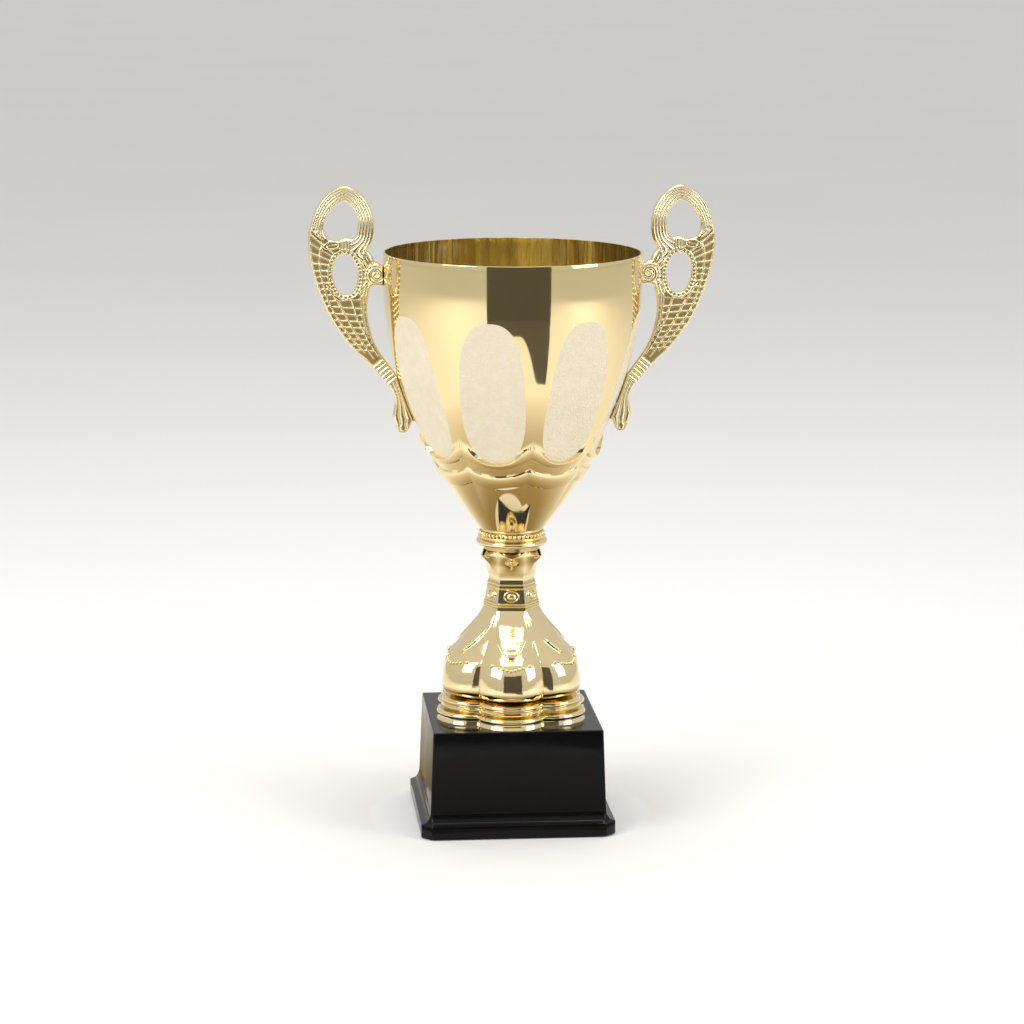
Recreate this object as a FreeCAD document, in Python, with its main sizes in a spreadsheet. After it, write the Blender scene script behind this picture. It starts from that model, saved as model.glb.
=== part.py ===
import FreeCAD, Part
import Sketcher
import math
import os

# Two-handled cup trophy: a thin spun bowl with eight oval panels, two cast handles,
# a six-sided cast stem built up on one threaded rod, and a square hollow plinth.
# Units are millimetres. +Z is up and the origin is the middle of the underside.

doc = FreeCAD.newDocument("cup_trophy")
dims = doc.addObject("Spreadsheet::Sheet", "dims")
row_count = 0
value_of = {}
NODES = []
SOLIDS = {"handle_screws": 4, "handle_washers": 4}
UP = FreeCAD.Vector(0, 0, 1)


def size(alias, value):
    """Writes one size to the sheet and returns the expression that reads it."""
    global row_count
    row_count += 1
    dims.set("A%d" % row_count, alias)
    dims.set("B%d" % row_count, repr(round(float(value), 5)))
    dims.setAlias("B%d" % row_count, alias)
    value_of[alias] = float(value)
    return "dims." + alias


def bind(obj, prop, alias):
    obj.setExpression(prop, "dims." + alias)


# ---------------------------------------------------------------- main sizes
size("rim_radius", 80.0)
size("rim_height", 357.84)
size("wall_top_straight", 340.0)
size("upper_wall_arc", 211.0)
size("lower_wall_arc", 363.0)
size("sheet_thickness", 1.2)
size("seat_height", 185.8)
size("panel_count", 8)
size("panel_turn", 29.5)
size("stem_turn", -5.4)
size("panel_height", 276.0)
size("panel_depth", 2.53)
size("panel_curve", 509.0)
size("rod_radius", 3.0)
size("rod_clearance", 3.3)
size("rod_bottom", 42.0)
size("rod_top", 195.3)
size("handle_thickness", 5.6)
size("ring_rise", 1.2)
size("scroll_rise", 2.4)
size("knot_rise", 1.4)
size("thread_start", 1.5)
size("upper_seat_gap", 0.1)
size("lower_seat_gap", 0.88)
size("scroll_x", 84.4)
size("scroll_height", 344.3)
size("scroll_radius", 6.5)
size("screw_radius", 1.5)
size("screw_clearance", 1.7)
size("screw_head_radius", 2.8)
size("screw_head_height", 2.0)
size("screw_grip", 7.5)
size("washer_radius", 3.6)
size("washer_thickness", 0.6)
size("plinth_top", 66.4)
size("plinth_top_half", 52.85)
size("plinth_low_half", 54.6)
size("plinth_low_height", 17.0)
size("foot_half", 60.5)
size("foot_height", 9.0)
size("foot_corner", 6.4)
size("body_corner", 0.9)
size("plinth_edge_height", 0.8)
size("rim_clearance", 0.5)
size("shell_top_wall", 4.0)
size("board_half", 57.0)
size("board_ledge", 4.2)
size("board_thickness", 3.0)
size("felt_thickness", 1.2)
size("felt_half", 56.6)
size("ballast_half", 40.0)
size("ballast_thickness", 8.0)
size("spread_washer_radius", 15.0)
size("spread_washer_thickness", 1.6)
size("lock_washer_radius", 5.9)
size("lock_washer_thickness", 1.6)
size("nut_flats", 10.0)
size("nut_height", 5.0)
size("gasket_radius", 11.0)
size("gasket_thickness", 0.8)
size("bowl_washer_radius", 9.0)
size("bowl_washer_thickness", 1.4)
size("bell_base", 80.8)
size("bell_top", 134.5)
size("neck_top", 172.0)
size("spigot_radius", 9.0)
size("spigot_height", 3.0)
size("spigot_gap", 0.15)


# ---------------------------------------------------------------- helpers
def new_body(name):
    body = doc.addObject("PartDesign::Body", name)
    body.Label = name
    NODES.append(body)
    return body


def origin_plane(body, role):
    for item in body.Origin.OriginFeatures:
        if item.Role == role:
            return item
    raise ValueError("no origin plane " + role)


def new_sketch(body, name, role, offset=0.0, offset_expression=None):
    sketch = body.newObject("Sketcher::SketchObject", name)
    sketch.AttachmentSupport = [(origin_plane(body, role), "")]
    sketch.MapMode = "FlatFace"
    sketch.AttachmentOffset = FreeCAD.Placement(FreeCAD.Vector(0, 0, offset), FreeCAD.Rotation())
    if offset_expression:
        sketch.setExpression("AttachmentOffset.Base.z", offset_expression)
    return sketch


def point_index(sketch, geometry, x, y):
    """1 for the geometry's start point, 2 for its end point, whichever is at x, y."""
    start = sketch.Geometry[geometry].StartPoint
    if math.hypot(start.x - x, start.y - y) < 1e-4:
        return 1
    return 2


def pin_value(sketch, kind, geometry, index, value, expression):
    """Holds one coordinate of a point at a value read from the sheet."""
    if abs(value) < 1e-9:
        axis = -2 if kind == "DistanceX" else -1
        sketch.addConstraint(Sketcher.Constraint("PointOnObject", geometry, index, axis))
        return
    if value > 0:
        number = sketch.addConstraint(Sketcher.Constraint(kind, -1, 1, geometry, index, value))
        sketch.setExpression("Constraints[%d]" % number, expression)
    else:
        number = sketch.addConstraint(Sketcher.Constraint(kind, geometry, index, -1, 1, -value))
        sketch.setExpression("Constraints[%d]" % number, "-1 * (" + expression + ")")


def add_loop(sketch, tag, start, steps):
    """Draws one closed loop. A step is (x, y) for a line or (mid x, mid y, x, y) for an arc.
    Every corner and arc radius goes on the sheet and is bound to it."""
    edges = []
    here = start
    for step in steps:
        end = (step[-2], step[-1])
        first = FreeCAD.Vector(here[0], here[1], 0)
        last = FreeCAD.Vector(end[0], end[1], 0)
        if len(step) == 2:
            geometry = sketch.addGeometry(Part.LineSegment(first, last), False)
        else:
            middle = FreeCAD.Vector(step[0], step[1], 0)
            clockwise = (middle - first).cross(last - middle).z < 0
            ends = (last, first) if clockwise else (first, last)
            geometry = sketch.addGeometry(Part.Arc(ends[0], middle, ends[1]), False)
        edges.append((geometry, here, end, len(step) == 4))
        here = end
    for number, edge in enumerate(edges):
        geometry = edge[0]
        end = edge[2]
        other = edges[(number + 1) % len(edges)][0]
        sketch.addConstraint(Sketcher.Constraint(
            "Coincident",
            geometry, point_index(sketch, geometry, end[0], end[1]),
            other, point_index(sketch, other, end[0], end[1])))
    for number, edge in enumerate(edges):
        geometry = edge[0]
        begin = edge[1]
        across = size("%s_x%d" % (tag, number), begin[0])
        along = size("%s_y%d" % (tag, number), begin[1])
        index = point_index(sketch, geometry, begin[0], begin[1])
        pin_value(sketch, "DistanceX", geometry, index, begin[0], across)
        pin_value(sketch, "DistanceY", geometry, index, begin[1], along)
        if edge[3]:
            radius = sketch.Geometry[geometry].Radius
            name = size("%s_arc%d" % (tag, number), radius)
            held = sketch.addConstraint(Sketcher.Constraint("Radius", geometry, radius))
            sketch.setExpression("Constraints[%d]" % held, name)


def add_circle(sketch, x, y, alias):
    circle = Part.Circle(FreeCAD.Vector(x, y, 0), UP, value_of[alias])
    number = sketch.addGeometry(circle, False)
    pin_value(sketch, "DistanceX", number, 3, x, repr(x))
    pin_value(sketch, "DistanceY", number, 3, y, repr(y))
    held = sketch.addConstraint(Sketcher.Constraint("Radius", number, value_of[alias]))
    sketch.setExpression("Constraints[%d]" % held, "dims." + alias)


def revolve(body, name, start, steps, cut=False):
    """Turns a closed profile (radius, height) about the Z axis."""
    sketch = new_sketch(body, name + "_profile", "XZ_Plane")
    add_loop(sketch, name, start, steps)
    kind = "PartDesign::Groove" if cut else "PartDesign::Revolution"
    feature = body.newObject(kind, name)
    feature.Profile = sketch
    feature.ReferenceAxis = (sketch, ["V_Axis"])
    feature.Angle = 360.0
    sketch.Visibility = False
    return feature


def ring_profile(hole, outside, low, high):
    return (hole, low), [(outside, low), (outside, high), (hole, high), (hole, low)]


def polygon_section(body, name, height, corners, height_expression=None):
    sketch = new_sketch(body, name, "XY_Plane", height, height_expression)
    add_loop(sketch, name, corners[0], [corners[(n + 1) % len(corners)] for n in range(len(corners))])
    return sketch


def lobed_section(body, name, height, crease, lobe):
    """Six equal arcs that meet in creases at the corners of a hexagon."""
    sketch = new_sketch(body, name, "XY_Plane", height, size(name + "_height", height))
    corner = size(name + "_crease", crease)
    bulge = size(name + "_lobe", lobe)
    side = lobe - crease * math.cos(math.pi / 6)
    radius = (crease ** 2 / 4 + side ** 2) / (2 * side)
    geometry = []
    for turn in range(6):
        a = math.radians(60 * turn)
        b = math.radians(60 * turn + 60)
        middle = math.radians(60 * turn + 30)
        arc = Part.Arc(
            FreeCAD.Vector(crease * math.cos(a), crease * math.sin(a), 0),
            FreeCAD.Vector(lobe * math.cos(middle), lobe * math.sin(middle), 0),
            FreeCAD.Vector(crease * math.cos(b), crease * math.sin(b), 0))
        geometry.append(sketch.addGeometry(arc, False))
    for turn in range(6):
        following = geometry[(turn + 1) % 6]
        sketch.addConstraint(Sketcher.Constraint("Coincident", geometry[turn], 2, following, 1))
    for turn in range(6):
        angle = math.radians(60 * turn)
        x = crease * math.cos(angle)
        y = crease * math.sin(angle)
        x = 0.0 if abs(x) < 1e-9 else x
        y = 0.0 if abs(y) < 1e-9 else y
        pin_value(sketch, "DistanceX", geometry[turn], 1, x, "%s * cos(%d deg)" % (corner, 60 * turn))
        pin_value(sketch, "DistanceY", geometry[turn], 1, y, "%s * sin(%d deg)" % (corner, 60 * turn))
    flat = "(%s - %s * cos(30 deg))" % (bulge, corner)
    for number in geometry:
        held = sketch.addConstraint(Sketcher.Constraint("Radius", number, radius))
        sketch.setExpression(
            "Constraints[%d]" % held, "(%s^2 / 4 + %s^2) / (2 * %s)" % (corner, flat, flat))
    sketch.Visibility = False
    return sketch


def lobed_loft(body, name, rows):
    """Skins through lobed sections given as (height, crease radius, lobe radius)."""
    sections = []
    for number, (height, crease, lobe) in enumerate(rows):
        sections.append(lobed_section(body, "%s_%d" % (name, number), height, crease, lobe))
    loft = body.newObject("PartDesign::AdditiveLoft", name)
    loft.Profile = sections[0]
    loft.Sections = sections[1:]
    loft.Ruled = False
    loft.Closed = False
    return loft


def cylinder_cut(body, name, alias, height, placement):
    tool = body.newObject("PartDesign::SubtractiveCylinder", name)
    bind(tool, "Radius", alias)
    tool.Height = height
    tool.Placement = placement
    return tool


def rod_hole(body, low, high):
    place = FreeCAD.Placement(FreeCAD.Vector(0, 0, low), FreeCAD.Rotation())
    return cylinder_cut(body, body.Name + "_rod_hole", "rod_clearance", high - low, place)


def along(start, direction):
    """Placement whose Z axis points along a direction."""
    return FreeCAD.Placement(start, FreeCAD.Rotation(UP, direction))


# ---------------------------------------------------------------- bowl shape
RIM = value_of["rim_radius"]
RIM_Z = value_of["rim_height"]
STRAIGHT = value_of["wall_top_straight"]
BIG = value_of["upper_wall_arc"]
LOW = value_of["lower_wall_arc"]
SHEET = value_of["sheet_thickness"]
SEAT_Z = value_of["seat_height"]
TURN = math.radians(25.2)
KNEE = (RIM - BIG + BIG * math.cos(TURN), STRAIGHT - BIG * math.sin(TURN))
LOW_CENTRE = (KNEE[0] - LOW * math.cos(TURN), KNEE[1] + LOW * math.sin(TURN))


def upper_wall(angle, inset=0.0):
    """Point on the upper wall arc, inset by the sheet thickness for the inside."""
    reach = BIG - inset
    return (RIM - BIG + reach * math.cos(angle), STRAIGHT - reach * math.sin(angle))


def lower_wall(height, inset=0.0, step=0.0):
    """Point on the lower wall arc at a height."""
    reach = LOW - inset
    rise = LOW_CENTRE[1] - height
    return (LOW_CENTRE[0] + math.sqrt(reach ** 2 - rise ** 2) + step, height)


def wall_arc_middle(a, b, centre_x, centre_y, reach):
    """Middle point of a wall arc that runs from a to b."""
    first = math.atan2(centre_y - a[1], a[0] - centre_x)
    last = math.atan2(centre_y - b[1], b[0] - centre_x)
    angle = (first + last) / 2
    return (centre_x + reach * math.cos(angle), centre_y - reach * math.sin(angle))


def outer_wall_steps():
    """Outer wall from the seat to the rim, with its two small ledges."""
    seat = lower_wall(SEAT_Z)
    below_two = lower_wall(216.2)
    above_two = lower_wall(216.8, 0, 0.75)
    below_one = lower_wall(230.9)
    above_one = lower_wall(231.6, 0, 0.9)
    knee = KNEE
    mid_a = wall_arc_middle(seat, below_two, LOW_CENTRE[0], LOW_CENTRE[1], LOW)
    mid_b = lower_wall(224.0, 0, 0.4)
    mid_c = lower_wall(241.0, 0, 0.45)
    mid_d = upper_wall(TURN / 2)
    return seat, [
        mid_a + below_two, above_two, mid_b + below_one, above_one,
        mid_c + knee, mid_d + (RIM, STRAIGHT), (RIM, RIM_Z)]


def bowl_envelope():
    """Closed profile of everything inside the bowl's outer wall."""
    seat, steps = outer_wall_steps()
    return (0.0, SEAT_Z), [seat] + steps + [(0.0, RIM_Z), (0.0, SEAT_Z)]


def bowl_inside():
    floor = lower_wall(SEAT_Z + SHEET, SHEET)
    knee = upper_wall(TURN, SHEET)
    middle = wall_arc_middle(floor, knee, LOW_CENTRE[0], LOW_CENTRE[1], LOW - SHEET)
    upper = upper_wall(TURN / 2, SHEET)
    top = RIM - SHEET
    return (0.0, SEAT_Z + SHEET), [
        floor, middle + knee, upper + (top, STRAIGHT), (top, RIM_Z + 2),
        (0.0, RIM_Z + 2), (0.0, SEAT_Z + SHEET)]


def hidden_body(name):
    """Body that only helps to build another one, so it isn't written as a part."""
    return doc.addObject("PartDesign::Body", name)


def panel_cylinders(name, inset):
    """Eight large cylinders. What lies inside all of them has eight shallow oval panels."""
    tilt = math.asin((STRAIGHT - value_of["panel_height"]) / BIG)
    surface = upper_wall(tilt)
    depth = value_of["panel_depth"]
    curve = value_of["panel_curve"]
    radius = surface[0] - (depth + curve) * math.cos(tilt)
    height = surface[1] + (depth + curve) * math.sin(tilt)
    tools = []
    count = int(value_of["panel_count"])
    length = 260.0
    for number in range(count):
        angle = math.radians(-90 + value_of["panel_turn"] + 360 * number / count)
        out = FreeCAD.Vector(math.cos(angle), math.sin(angle), 0)
        side = FreeCAD.Vector(-math.sin(angle), math.cos(angle), 0)
        tool = doc.addObject("Part::Cylinder", "%s_%d" % (name, number))
        tool.setExpression("Radius", "dims.panel_curve - %s" % repr(inset))
        tool.Height = length
        middle = out * radius + UP * height
        tool.Placement = along(middle - side * (length / 2), side)
        tools.append(tool)
    return tools


def screw_axis(lower, side):
    """Start point on the outer wall and outward direction of one handle screw."""
    if lower:
        angle = math.asin((STRAIGHT - 262.0) / BIG)
    else:
        angle = 0.0
    point = upper_wall(angle)
    height = point[1] if lower else value_of["scroll_height"]
    start = FreeCAD.Vector(side * point[0], 0, height)
    out = FreeCAD.Vector(side * math.cos(angle), 0, -math.sin(angle))
    return start, out


outer = hidden_body("bowl_outside")
revolve(outer, "bowl_outer", *bowl_envelope())
inner = hidden_body("bowl_cavity")
revolve(inner, "bowl_inner", *bowl_inside())
outer_faceted = doc.addObject("Part::MultiCommon", "bowl_outer_faceted")
outer_faceted.Shapes = [outer] + panel_cylinders("outer_panel", 0.0)
inner_faceted = doc.addObject("Part::MultiCommon", "bowl_inner_faceted")
inner_faceted.Shapes = [inner] + panel_cylinders("inner_panel", SHEET)
bowl_sheet = doc.addObject("Part::Cut", "bowl_sheet")
bowl_sheet.Base = outer_faceted
bowl_sheet.Tool = inner_faceted
bowl_holes = doc.addObject("Part::MultiFuse", "bowl_holes")
hole_tools = []
centre_hole = doc.addObject("Part::Cylinder", "bowl_centre_hole")
bind(centre_hole, "Radius", "rod_clearance")
centre_hole.Height = 12.0
centre_hole.Placement = FreeCAD.Placement(FreeCAD.Vector(0, 0, SEAT_Z - 5), FreeCAD.Rotation())
hole_tools.append(centre_hole)
for side, side_name in ((-1, "left"), (1, "right")):
    for lower, level in ((False, "upper"), (True, "lower")):
        start, out = screw_axis(lower, side)
        tool = doc.addObject("Part::Cylinder", "bowl_hole_%s_%s" % (side_name, level))
        bind(tool, "Radius", "screw_clearance")
        tool.Height = 8.0
        tool.Placement = along(start - out * 4, out)
        hole_tools.append(tool)
bowl_holes.Shapes = hole_tools
bowl = doc.addObject("Part::Cut", "bowl")
bowl.Label = "bowl"
bowl.Base = bowl_sheet
bowl.Tool = bowl_holes
NODES.append(bowl)

# ---------------------------------------------------------------- handles


def mirrored(points, side):
    """Flips a list of outline points left or right."""
    flipped = []
    for point in points:
        values = list(point)
        for index in range(0, len(values), 2):
            values[index] = values[index] * side
        flipped.append(tuple(values))
    return flipped


# Outline of the right-hand handle, as (x, z). Two numbers end a straight line and four end an arc.
OUTLINE = [
    (85.9, 374.5), (87.1, 383.2, 91.0, 390.6), (95.6, 395.4, 101.0, 398.2),
    (104.0, 398.7, 107.2, 397.8), (113.7, 394.0, 118.9, 387.9), (122.5, 379.9, 125.2, 370.4),
    (125.6, 363.0, 124.9, 355.0), (122.5, 343.3, 118.2, 331.0), (112.9, 319.0, 105.6, 307.0),
    (98.6, 298.4, 90.6, 290.8), (83.4, 283.0, 76.2, 274.4), (73.6, 269.3, 72.8, 264.0),
    (73.3, 260.4, 74.1, 257.0), (73.5, 253.8, 72.3, 250.8), (68.3, 245.8, 64.0, 249.2),
    (62.6, 253.0), (56.0, 253.0), (64.0, 277.5), (72.0, 281.4), (79.3, 291.6),
    (85.2, 301.0, 88.6, 311.6), (90.2, 322.5, 88.5, 334.4), (87.2, 337.1, 84.8, 337.5),
    (77.0, 337.5), (77.0, 349.6), (81.6, 350.5), (86.0, 352.4), (87.2, 356.0, 90.3, 359.3),
    (87.2, 365.6, 85.9, 374.5)]
LOOP_HOLE = [
    (103.9, 389.8), (99.3, 386.4, 96.1, 381.0), (95.0, 376.5, 95.6, 371.8),
    (96.4, 368.0, 99.4, 366.1), (103.5, 366.7, 107.6, 365.2), (111.0, 365.5, 114.4, 367.0),
    (116.6, 371.6, 115.3, 378.6), (111.2, 385.2, 103.9, 389.8)]
EYE = (103.3, 344.4)
EYE_HALF = (8.05, 12.6)
EYE_LEAN = math.radians(3.9)
EYE_RING_WIDTH = 3.1
KNOT_BARS = 6
KNOT_START = (75.1, 277.8)
KNOT_STEP = (1.62, 2.18)
KNOT_BAR = (7.4, 1.3)
KNOT_DIRECTION = math.radians(-38)


def leaning_oval(grow):
    """Oval eye of the handle, grown by a margin, as four arcs."""
    spots = []
    for number in range(8):
        angle = math.radians(45 + 45 * number)
        x = (EYE_HALF[0] + grow) * math.cos(angle)
        z = (EYE_HALF[1] + grow) * math.sin(angle)
        spots.append((
            EYE[0] + x * math.cos(EYE_LEAN) + z * math.sin(EYE_LEAN),
            EYE[1] - x * math.sin(EYE_LEAN) + z * math.cos(EYE_LEAN)))
    return [spots[0]] + [spots[n] + spots[(n + 1) % 8] for n in (1, 3, 5, 7)]


def pad(body, name, sketch, length_expression):
    feature = body.newObject("PartDesign::Pad", name)
    feature.Profile = sketch
    feature.SideType = "Symmetric"
    feature.setExpression("Length", length_expression)
    sketch.Visibility = False
    return feature


def bar_corners(middle, direction, long, wide):
    """Four corners of a bar of a given length and width, centred on a point."""
    ux = math.cos(direction)
    uz = math.sin(direction)
    corners = []
    for a, b in ((-1, -1), (1, -1), (1, 1), (-1, 1)):
        corners.append((
            middle[0] + a * long / 2 * ux - b * wide / 2 * uz,
            middle[1] + a * long / 2 * uz + b * wide / 2 * ux))
    return corners


def build_handle(name, side):
    body = new_body(name)
    outline = mirrored(OUTLINE, side)
    plate = new_sketch(body, name + "_outline", "XZ_Plane")
    add_loop(plate, name + "_edge", outline[0], outline[1:])
    for tag, loop in (("_loop", LOOP_HOLE), ("_eye", leaning_oval(0.0))):
        points = mirrored(loop, side)
        add_loop(plate, name + tag, points[0], points[1:])
    pad(body, name + "_plate", plate, "dims.handle_thickness")
    ring = new_sketch(body, name + "_eye_ring", "XZ_Plane")
    for tag, loop in (("_ring_in", leaning_oval(0.0)), ("_ring_out", leaning_oval(EYE_RING_WIDTH))):
        points = mirrored(loop, side)
        add_loop(ring, name + tag, points[0], points[1:])
    pad(body, name + "_beaded_ring", ring, "dims.handle_thickness + dims.ring_rise")
    scroll = new_sketch(body, name + "_scroll_disc", "XZ_Plane")
    add_circle(scroll, side * value_of["scroll_x"], value_of["scroll_height"], "scroll_radius")
    pad(body, name + "_scroll", scroll, "dims.handle_thickness + dims.scroll_rise")
    knot = new_sketch(body, name + "_knot_bars", "XZ_Plane")
    for number in range(KNOT_BARS):
        middle = (KNOT_START[0] + KNOT_STEP[0] * number, KNOT_START[1] + KNOT_STEP[1] * number)
        corners = mirrored(bar_corners(middle, KNOT_DIRECTION, *KNOT_BAR), side)
        add_loop(knot, "%s_bar%d" % (name, number), corners[0], corners[1:] + corners[:1])
    pad(body, name + "_knot", knot, "dims.handle_thickness + dims.knot_rise")
    revolve(body, name + "_saddle", *bowl_envelope(), cut=True)
    for lower, level in ((False, "upper"), (True, "lower")):
        start, out = screw_axis(lower, side)
        cylinder_cut(body, "%s_%s_thread" % (name, level), "screw_radius",
                     value_of["screw_grip"] - value_of["thread_start"], along(start, out))
    return body


build_handle("handle_left", -1)
build_handle("handle_right", 1)


def turned_washer(name):
    """Flat washer on the Z axis with its outer face at height 0."""
    washer = hidden_body(name)
    thick = value_of["washer_thickness"]
    profile = ring_profile(value_of["screw_clearance"], value_of["washer_radius"], -thick, 0.0)
    revolve(washer, name + "_disc", *profile)
    return washer


def turned_screw(name):
    """Slotted pan head screw on the Z axis, its head under a washer at height 0."""
    screw = hidden_body(name)
    shank = value_of["screw_radius"]
    head = value_of["screw_head_radius"]
    seat = -value_of["washer_thickness"]
    crown = seat - value_of["screw_head_height"]
    tip = value_of["screw_grip"] - 1.6
    revolve(screw, name + "_turned", (0.0, crown), [
        (1.2, crown), (2.4, crown + 0.35, head, seat - 0.7), (head, seat), (shank, seat),
        (shank, tip - 0.6), (shank - 0.6, tip), (0.0, tip), (0.0, crown)])
    slot = new_sketch(screw, name + "_slot", "XY_Plane", crown)
    corners = bar_corners((0.0, 0.0), 0.3, 4.2, 0.8)
    add_loop(slot, name + "_slot", corners[0], corners[1:] + corners[:1])
    recess = screw.newObject("PartDesign::Pocket", name + "_recess")
    recess.Profile = slot
    recess.SideType = "Symmetric"
    recess.Length = 1.8
    return screw


def grouped(name, solids):
    """One node that holds several identical solids."""
    group = doc.addObject("Part::Compound", name)
    group.Label = name
    group.Links = solids
    NODES.append(group)


washers = []
screws = []
for side, side_name in ((-1, "left"), (1, "right")):
    for lower, level in ((False, "upper"), (True, "lower")):
        start, out = screw_axis(lower, side)
        # the lower washers rest on the edge of a panel and stand off the sheet beside it
        face = start - out * (SHEET + value_of[level + "_seat_gap"])
        washers.append(turned_washer("washer_%s_%s" % (side_name, level)))
        screws.append(turned_screw("screw_%s_%s" % (side_name, level)))
        washers[-1].Placement = along(face, out)
        screws[-1].Placement = along(face, out)
grouped("handle_washers", washers)
grouped("handle_screws", screws)

# ---------------------------------------------------------------- fixing stack in the bowl
floor_z = SEAT_Z + SHEET
gasket = new_body("bowl_gasket")
gasket_top = floor_z + value_of["gasket_thickness"]
revolve(gasket, "gasket_ring", *ring_profile(
    value_of["rod_clearance"], value_of["gasket_radius"], floor_z, gasket_top))
bowl_washer = new_body("bowl_washer")
washer_top = gasket_top + value_of["bowl_washer_thickness"]
revolve(bowl_washer, "bowl_washer_ring", *ring_profile(
    value_of["rod_clearance"], value_of["bowl_washer_radius"], gasket_top, washer_top))


def hexagon(flats):
    corner = flats / math.sqrt(3)
    return [(corner * math.cos(math.radians(60 * n + 30)), corner * math.sin(math.radians(60 * n + 30)))
            for n in range(6)]


def nut_blank(body, low, high):
    sketch = polygon_section(body, body.Name + "_hex", low, hexagon(value_of["nut_flats"]))
    feature = body.newObject("PartDesign::Pad", body.Name + "_prism")
    feature.Profile = sketch
    feature.Length = high - low
    sketch.Visibility = False
    return feature


dome_nut = new_body("dome_nut")
nut_top = washer_top + value_of["nut_height"]
nut_blank(dome_nut, washer_top, nut_top)
revolve(dome_nut, "nut_dome", (0.0, nut_top - 1), [
    (4.4, nut_top - 1), (4.4, nut_top), (3.3, nut_top + 3.2, 0.0, nut_top + 4.6), (0.0, nut_top - 1)])
cylinder_cut(dome_nut, "dome_nut_thread", "rod_radius", value_of["rod_top"] - washer_top + 0.3,
             FreeCAD.Placement(FreeCAD.Vector(0, 0, washer_top), FreeCAD.Rotation()))

# ---------------------------------------------------------------- stem castings
neck_top = value_of["neck_top"]
bell_top = value_of["bell_top"]
bell_base = value_of["bell_base"]
top = value_of["plinth_top"]
spigot = value_of["spigot_radius"]
deep = value_of["spigot_height"]
gap = value_of["spigot_gap"]
bore = value_of["rod_clearance"]

collar = new_body("collar")
revolve(collar, "collar_turned", (bore, SEAT_Z), [
    (18.1, SEAT_Z), (19.2, 184.6, 18.2, 183.4), (18.9, 183.2), (20.2, 182.1, 19.6, 181.0),
    (20.7, 180.9), (21.3, 180.1, 20.7, 179.2), (20.4, 178.8), (21.2, 178.3),
    (22.3, 176.5, 21.0, 174.9), (17.4, 174.0), (17.4, neck_top), (spigot, neck_top),
    (spigot, neck_top - deep), (bore, neck_top - deep), (bore, SEAT_Z)])

neck = new_body("stem_neck")
lobed_loft(neck, "neck_skin", [
    (bell_top, 17.6, 15.6), (139.0, 16.8, 14.9), (144.0, 15.9, 14.1),
    (149.5, 15.0, 13.3), (153.6, 14.3, 12.6), (158.5, 15.3, 13.7),
    (163.0, 16.0, 16.1), (167.0, 16.9, 20.0), (169.4, 17.3, 22.8), (neck_top, 17.0, 17.9)])
for number, (low, high, crease) in enumerate(((136.3, 137.9, 17.9), (148.2, 150.2, 15.9))):
    lobed_loft(neck, "neck_band_%d" % number, [
        (low, crease - 0.3, crease * 0.88), (high, crease - 0.3, crease * 0.88)])
first_stone = neck.newObject("PartDesign::AdditiveEllipsoid", "cabochon")
first_stone.Radius1 = 3.7
first_stone.Radius2 = 4.8
first_stone.Radius3 = 2.4
first_stone.Placement = FreeCAD.Placement(FreeCAD.Vector(0, -13.2, 143.3), FreeCAD.Rotation())
stones = neck.newObject("PartDesign::PolarPattern", "cabochons")
stones.Originals = [first_stone]
stones.Axis = (origin_plane(neck, "Z_Axis"), [""])
stones.Angle = 360.0
stones.Occurrences = 6
neck.Tip = stones
revolve(neck, "neck_socket", (0.0, neck_top - deep - 0.2), [
    (spigot + gap, neck_top - deep - 0.2), (spigot + gap, neck_top + 1), (0.0, neck_top + 1),
    (0.0, neck_top - deep - 0.2)], cut=True)
revolve(neck, "neck_foot_socket", (0.0, bell_top - 1), [
    (spigot + gap, bell_top - 1), (spigot + gap, bell_top + deep + 0.2),
    (0.0, bell_top + deep + 0.2), (0.0, bell_top - 1)], cut=True)
rod_hole(neck, bell_top - 1, neck_top + 1)

bell = new_body("stem_bell")
lobed_loft(bell, "bell_skin", [
    (bell_base, 34.0, 38.5), (83.4, 38.8, 44.5), (87.5, 40.4, 46.5), (95.0, 39.8, 45.6),
    (103.0, 37.8, 42.8), (110.0, 33.4, 36.2), (118.0, 28.2, 28.9), (126.0, 22.3, 21.4),
    (bell_top, 17.6, 15.6)])
revolve(bell, "bell_spigot", (bore, bell_top - 1), [
    (spigot, bell_top - 1), (spigot, bell_top + deep), (bore, bell_top + deep), (bore, bell_top - 1)])
revolve(bell, "bell_hollow", (0.0, bell_base - 1), [
    (30.0, bell_base - 1), (30.0, 84.0), (36.0, 88.0), (36.0, 99.0), (29.5, 110.0), (24.0, 118.0),
    (15.5, 127.0), (11.0, 129.0), (0.0, 129.0), (0.0, bell_base - 1)], cut=True)
rod_hole(bell, 120.0, bell_top + deep + 1)

foot_ring = new_body("foot_ring")
# the lobed castings stand together, turned a little from the square of the plinth
for casting in (neck, bell, foot_ring):
    casting.Placement = FreeCAD.Placement(
        FreeCAD.Vector(0, 0, 0), FreeCAD.Rotation(UP, value_of["stem_turn"]))
lobed_loft(foot_ring, "lower_tier", [(top, 41.5, 49.8), (69.5, 41.9, 50.3), (72.2, 41.2, 49.4)])
lobed_loft(foot_ring, "tier_groove", [(72.2, 38.2, 45.0), (73.9, 38.2, 45.0)])
lobed_loft(foot_ring, "upper_tier", [
    (73.9, 39.0, 46.1), (75.6, 39.7, 47.2), (77.0, 38.9, 46.1), (78.6, 39.4, 46.8),
    (80.0, 38.4, 45.6)])
lobed_loft(foot_ring, "bell_seat", [(80.0, 34.6, 39.2), (bell_base, 34.0, 38.5)])
revolve(foot_ring, "foot_bore", *ring_profile(0.0, 30.0, top - 1, bell_base + 1), cut=True)

# ---------------------------------------------------------------- plinth


def square_corners(half):
    return [(half, -half), (half, half), (-half, half), (-half, -half)]


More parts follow.
